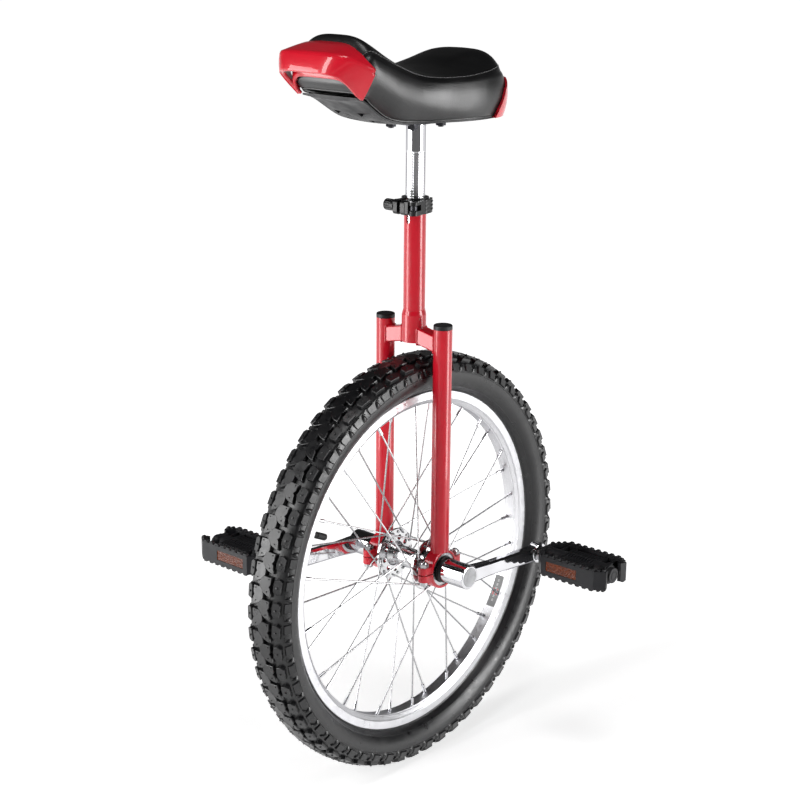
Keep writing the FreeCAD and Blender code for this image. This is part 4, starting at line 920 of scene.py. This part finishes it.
def along_points(points, steps):
    """A smooth path through the points."""
    table = [(k, *p) for k, p in enumerate(points)]
    count = (len(points) - 1) * steps
    return [tuple(smooth_value(k / steps, table, c) for c in (1, 2, 3)) for k in range(count + 1)]


def mirrored_path(points):
    """The path over both halves, from the right end to the left end."""
    return [(x, -y, z) for x, y, z in reversed(points[1:])] + list(points)


def between(a, b, t, bulge=0.0):
    """A point between two others, pushed outwards (away from the saddle's middle) by a bulge in mm."""
    p = Vector(a).lerp(Vector(b), t)
    out = Vector((p.x - BULGE_CENTRE_X, p.y, 0)).normalized()
    return p + out * bulge


def guard_rows():
    """Loops over the band from its rear top edge, over the crease, down to the lip."""
    lines = [along_points([row[k] for row in GUARD], GUARD_COLUMNS) for k in range(3)]
    rear, crease, lip = (mirrored_path(line) for line in lines)
    top, face = list(zip(rear, crease)), list(zip(crease, lip))
    rows = [[between(a, b, t, TOP_BULGE * math.sin(math.pi * t)) for a, b in top] for t in TOP_STEPS]
    rows += [[between(a, b, 0.97, 0.1) + Vector((0, 0, 0.1)) for a, b in top]]
    rows += [[between(a, b, t, FACE_BULGE * math.sin(math.pi * t)) for a, b in face] for t in FACE_STEPS]
    return rows, lip


def solid_shell(name, rows, thickness, body, slot):
    """A sheet of loops given a wall thickness inwards and softly rounded edges."""
    mesh = Mesh()
    mesh.stack(rows, closed=False, caps=False)
    verts = [Vector(v) * MM for v in mesh.verts]
    shell = piece(name, verts, mesh.faces, body, slot, 180)
    wall = shell.modifiers.new("wall", "SOLIDIFY")
    wall.thickness = thickness * MM
    wall.offset = -1.0
    edge = shell.modifiers.new("edge", "BEVEL")
    edge.width = 0.5 * MM
    edge.segments = 2
    edge.limit_method = "ANGLE"
    edge.angle_limit = math.radians(50)
    return shell


def make_front_guard():
    """The red nose guard: an outer band with a rolled lip, and a lower wall behind the finger gap."""
    rows, lip = guard_rows()
    band = solid_shell("front_guard_band", rows, GUARD_WALL, "seat", "red_plastic")
    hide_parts("front_bumper")
    rim = Mesh()
    inset = [between(p, (LIP_CENTRE_X, 0, p[2]), 0.02) + Vector((0, 0, 0.6)) for p in lip]
    rim.stack(pipe([p * MM for p in inset], LIP_R * MM, 12))
    piece("front_guard_lip", rim.verts, rim.faces, "seat", "red_plastic", 60)
    make_inner_wall()


def make_inner_wall():
    """The wall behind the fingers: a short skirt with a rolled lip that curls back into the side bands."""
    low = mirrored_path(along_points(INNER_LIP, 8))
    rows = [[Vector((x, y, z + (INNER_TOP_Z - z) * t)) for x, y, z in low] for t in INNER_STEPS]
    solid_shell("front_guard_inner_wall", rows, INNER_WALL, "seat", "red_plastic")
    rim = Mesh()
    rim.stack(pipe([Vector(p) * MM for p in low], LIP_R * MM, 12))
    piece("front_guard_inner_lip", rim.verts, rim.faces, "seat", "red_plastic", 60)
    boss = Mesh()
    centre = (BOSS_AT[0] * MM, BOSS_AT[1] * MM)
    for side in (-1, 1):
        rings = []
        for r, y in BOSS_PROFILE:
            rings.append([around_y(a * math.pi / 8, r * MM, side * y * MM, centre) for a in range(16)])
        boss.stack(rings)
    piece("front_guard_bosses", boss.verts, boss.faces, "seat", "red_plastic", 40)


# ---- seat post ---------------------------------------------------------------------------------------

POST_R = 11.1 * MM
KNURL_TOP = 743 * MM
KNURL_DEPTH = 0.32 * MM
KNURL_STEP = 0.74 * MM
KNURL_SIDES = 96


def knurl_depth(i, j):
    """How deep a point of the diamond knurl lies: the grooves run both ways round the post."""
    return KNURL_DEPTH if (i + j) % 4 == 0 or (i - j) % 4 == 0 else 0.0


def make_post():
    """The chromed post: smooth at the top, diamond knurled below."""
    low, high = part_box("seat_post")
    knurled = int((KNURL_TOP - low.z) / KNURL_STEP)
    levels = [(low.z + j * KNURL_STEP, j) for j in range(knurled)] + [(KNURL_TOP, None), (high.z, None)]
    rings = []
    for z, j in levels:
        ring = []
        for i in range(KNURL_SIDES):
            a = 2 * math.pi * i / KNURL_SIDES
            r = POST_R - (0.0 if j is None else knurl_depth(i, j))
            ring.append((r * math.cos(a), r * math.sin(a), z))
        rings.append(ring)
    mesh = Mesh()
    mesh.stack(rings)
    post = piece("seat_post_knurled", mesh.verts, mesh.faces, "seat", "chrome", 5)
    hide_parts("seat_post")


# ---- small details -----------------------------------------------------------------------------------

LABEL_ANGLE = 180 + 60.5  # from straight up towards +X
LABEL_R = 192.0 * MM
LABEL_HALF_ANGLE = 6.2
LABEL_HALF_WIDTH = 6.4 * MM
LABEL_THICKNESS = 0.12 * MM
LABEL_COLUMNS = 24
LABEL_ROWS = 5


def make_rim_label():
    """A small generic sticker on the inside of the rim: plain blocks of black, red and grey, no lettering."""
    inks = [flat_ink("label_dark", (0.02, 0.02, 0.022)), flat_ink("label_red", (0.5, 0.01, 0.02)),
            flat_ink("label_grey", (0.35, 0.35, 0.35))]
    mesh = Mesh()
    rings = []
    for i in range(LABEL_COLUMNS + 1):
        a = math.radians(LABEL_ANGLE + LABEL_HALF_ANGLE * (2 * i / LABEL_COLUMNS - 1))
        ys = [LABEL_HALF_WIDTH * (2 * j / LABEL_ROWS - 1) for j in range(LABEL_ROWS + 1)]
        rings.append([around_y(a, LABEL_R - LABEL_THICKNESS, y) for y in ys])
    mesh.stack(rings, closed=False, caps=False)
    label = piece("rim_label", mesh.verts, mesh.faces, "wheel", "black_plastic", 60, inks[0])
    for ink in inks[1:]:
        label.data.materials.append(ink)
    for k, polygon in enumerate(label.data.polygons):
        column, row = divmod(k, LABEL_ROWS)
        if row == 2 and 3 <= column <= 20 and column % 3:
            polygon.material_index = 2
        elif row in (1, 3) and 9 <= column <= 13:
            polygon.material_index = 1


BEAD_R = 1.2 * MM
BEAD_RIPPLE = 0.35 * MM
BEAD_PITCH = 1.3 * MM
BAR_HALF_HEIGHT = 9.5 * MM
BAR_MIDDLE_Z = 534.5 * MM  # of a crown bar, where it would reach the seat post's axis
BAR_SLOPE = math.tan(math.radians(12))


def bead_path(half_x, radius, centre_y, towards):
    """Round a crown bar's four sides where it meets an upright tube, on the side given by towards."""
    low, high = -BAR_HALF_HEIGHT, BAR_HALF_HEIGHT
    corners = [(-half_x, 0, low), (half_x, 0, low), (half_x, 0, high), (-half_x, 0, high)]
    path = []
    for k, p in enumerate(evenly(corners, BEAD_PITCH)):
        p.y = centre_y + towards * (math.sqrt(max(0.0, radius ** 2 - p.x ** 2)) + BEAD_RIPPLE * (k % 2))
        p.z += BAR_MIDDLE_Z - abs(p.y) * BAR_SLOPE
        path.append(p)
    return path


def make_weld_beads():
    """Rippled weld beads where the two crown bars meet the sleeve and the legs."""
    sleeve_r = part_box("seat_tube_sleeve")[1].x
    mesh = Mesh()
    for name, side in (("left", 1), ("right", -1)):
        half_x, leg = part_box(name + "_crown_bar")[1].x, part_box(name + "_leg")
        leg_r, leg_y = leg[1].x, (leg[0].y + leg[1].y) / 2
        for path in (bead_path(half_x, sleeve_r, 0.0, side), bead_path(half_x, leg_r, leg_y, -side)):
            mesh.stack(pipe(path, BEAD_R, 8, closed=True), caps=False)
    piece("crown_weld_beads", mesh.verts, mesh.faces, "frame", "red_paint", 60)


def flat_ink(name, color):
    s = Surface(name, color, 0.3, Coat_Weight=0.4)
    s.vary_color(*shades(color, 0.2), 400.0)
    return s.material


# ---- build -------------------------------------------------------------------------------------------

make_camera()
make_lights()
MATERIALS = make_materials()
make_floor()
dress_nodes(MATERIALS)
make_tyre()
CUSHION, CUSHION_RINGS = make_cushion()
make_stitches(CUSHION, CUSHION_RINGS)
make_edge_piping(CUSHION, CUSHION_RINGS)
make_front_guard()
make_post()
make_rim_label()
make_weld_beads()
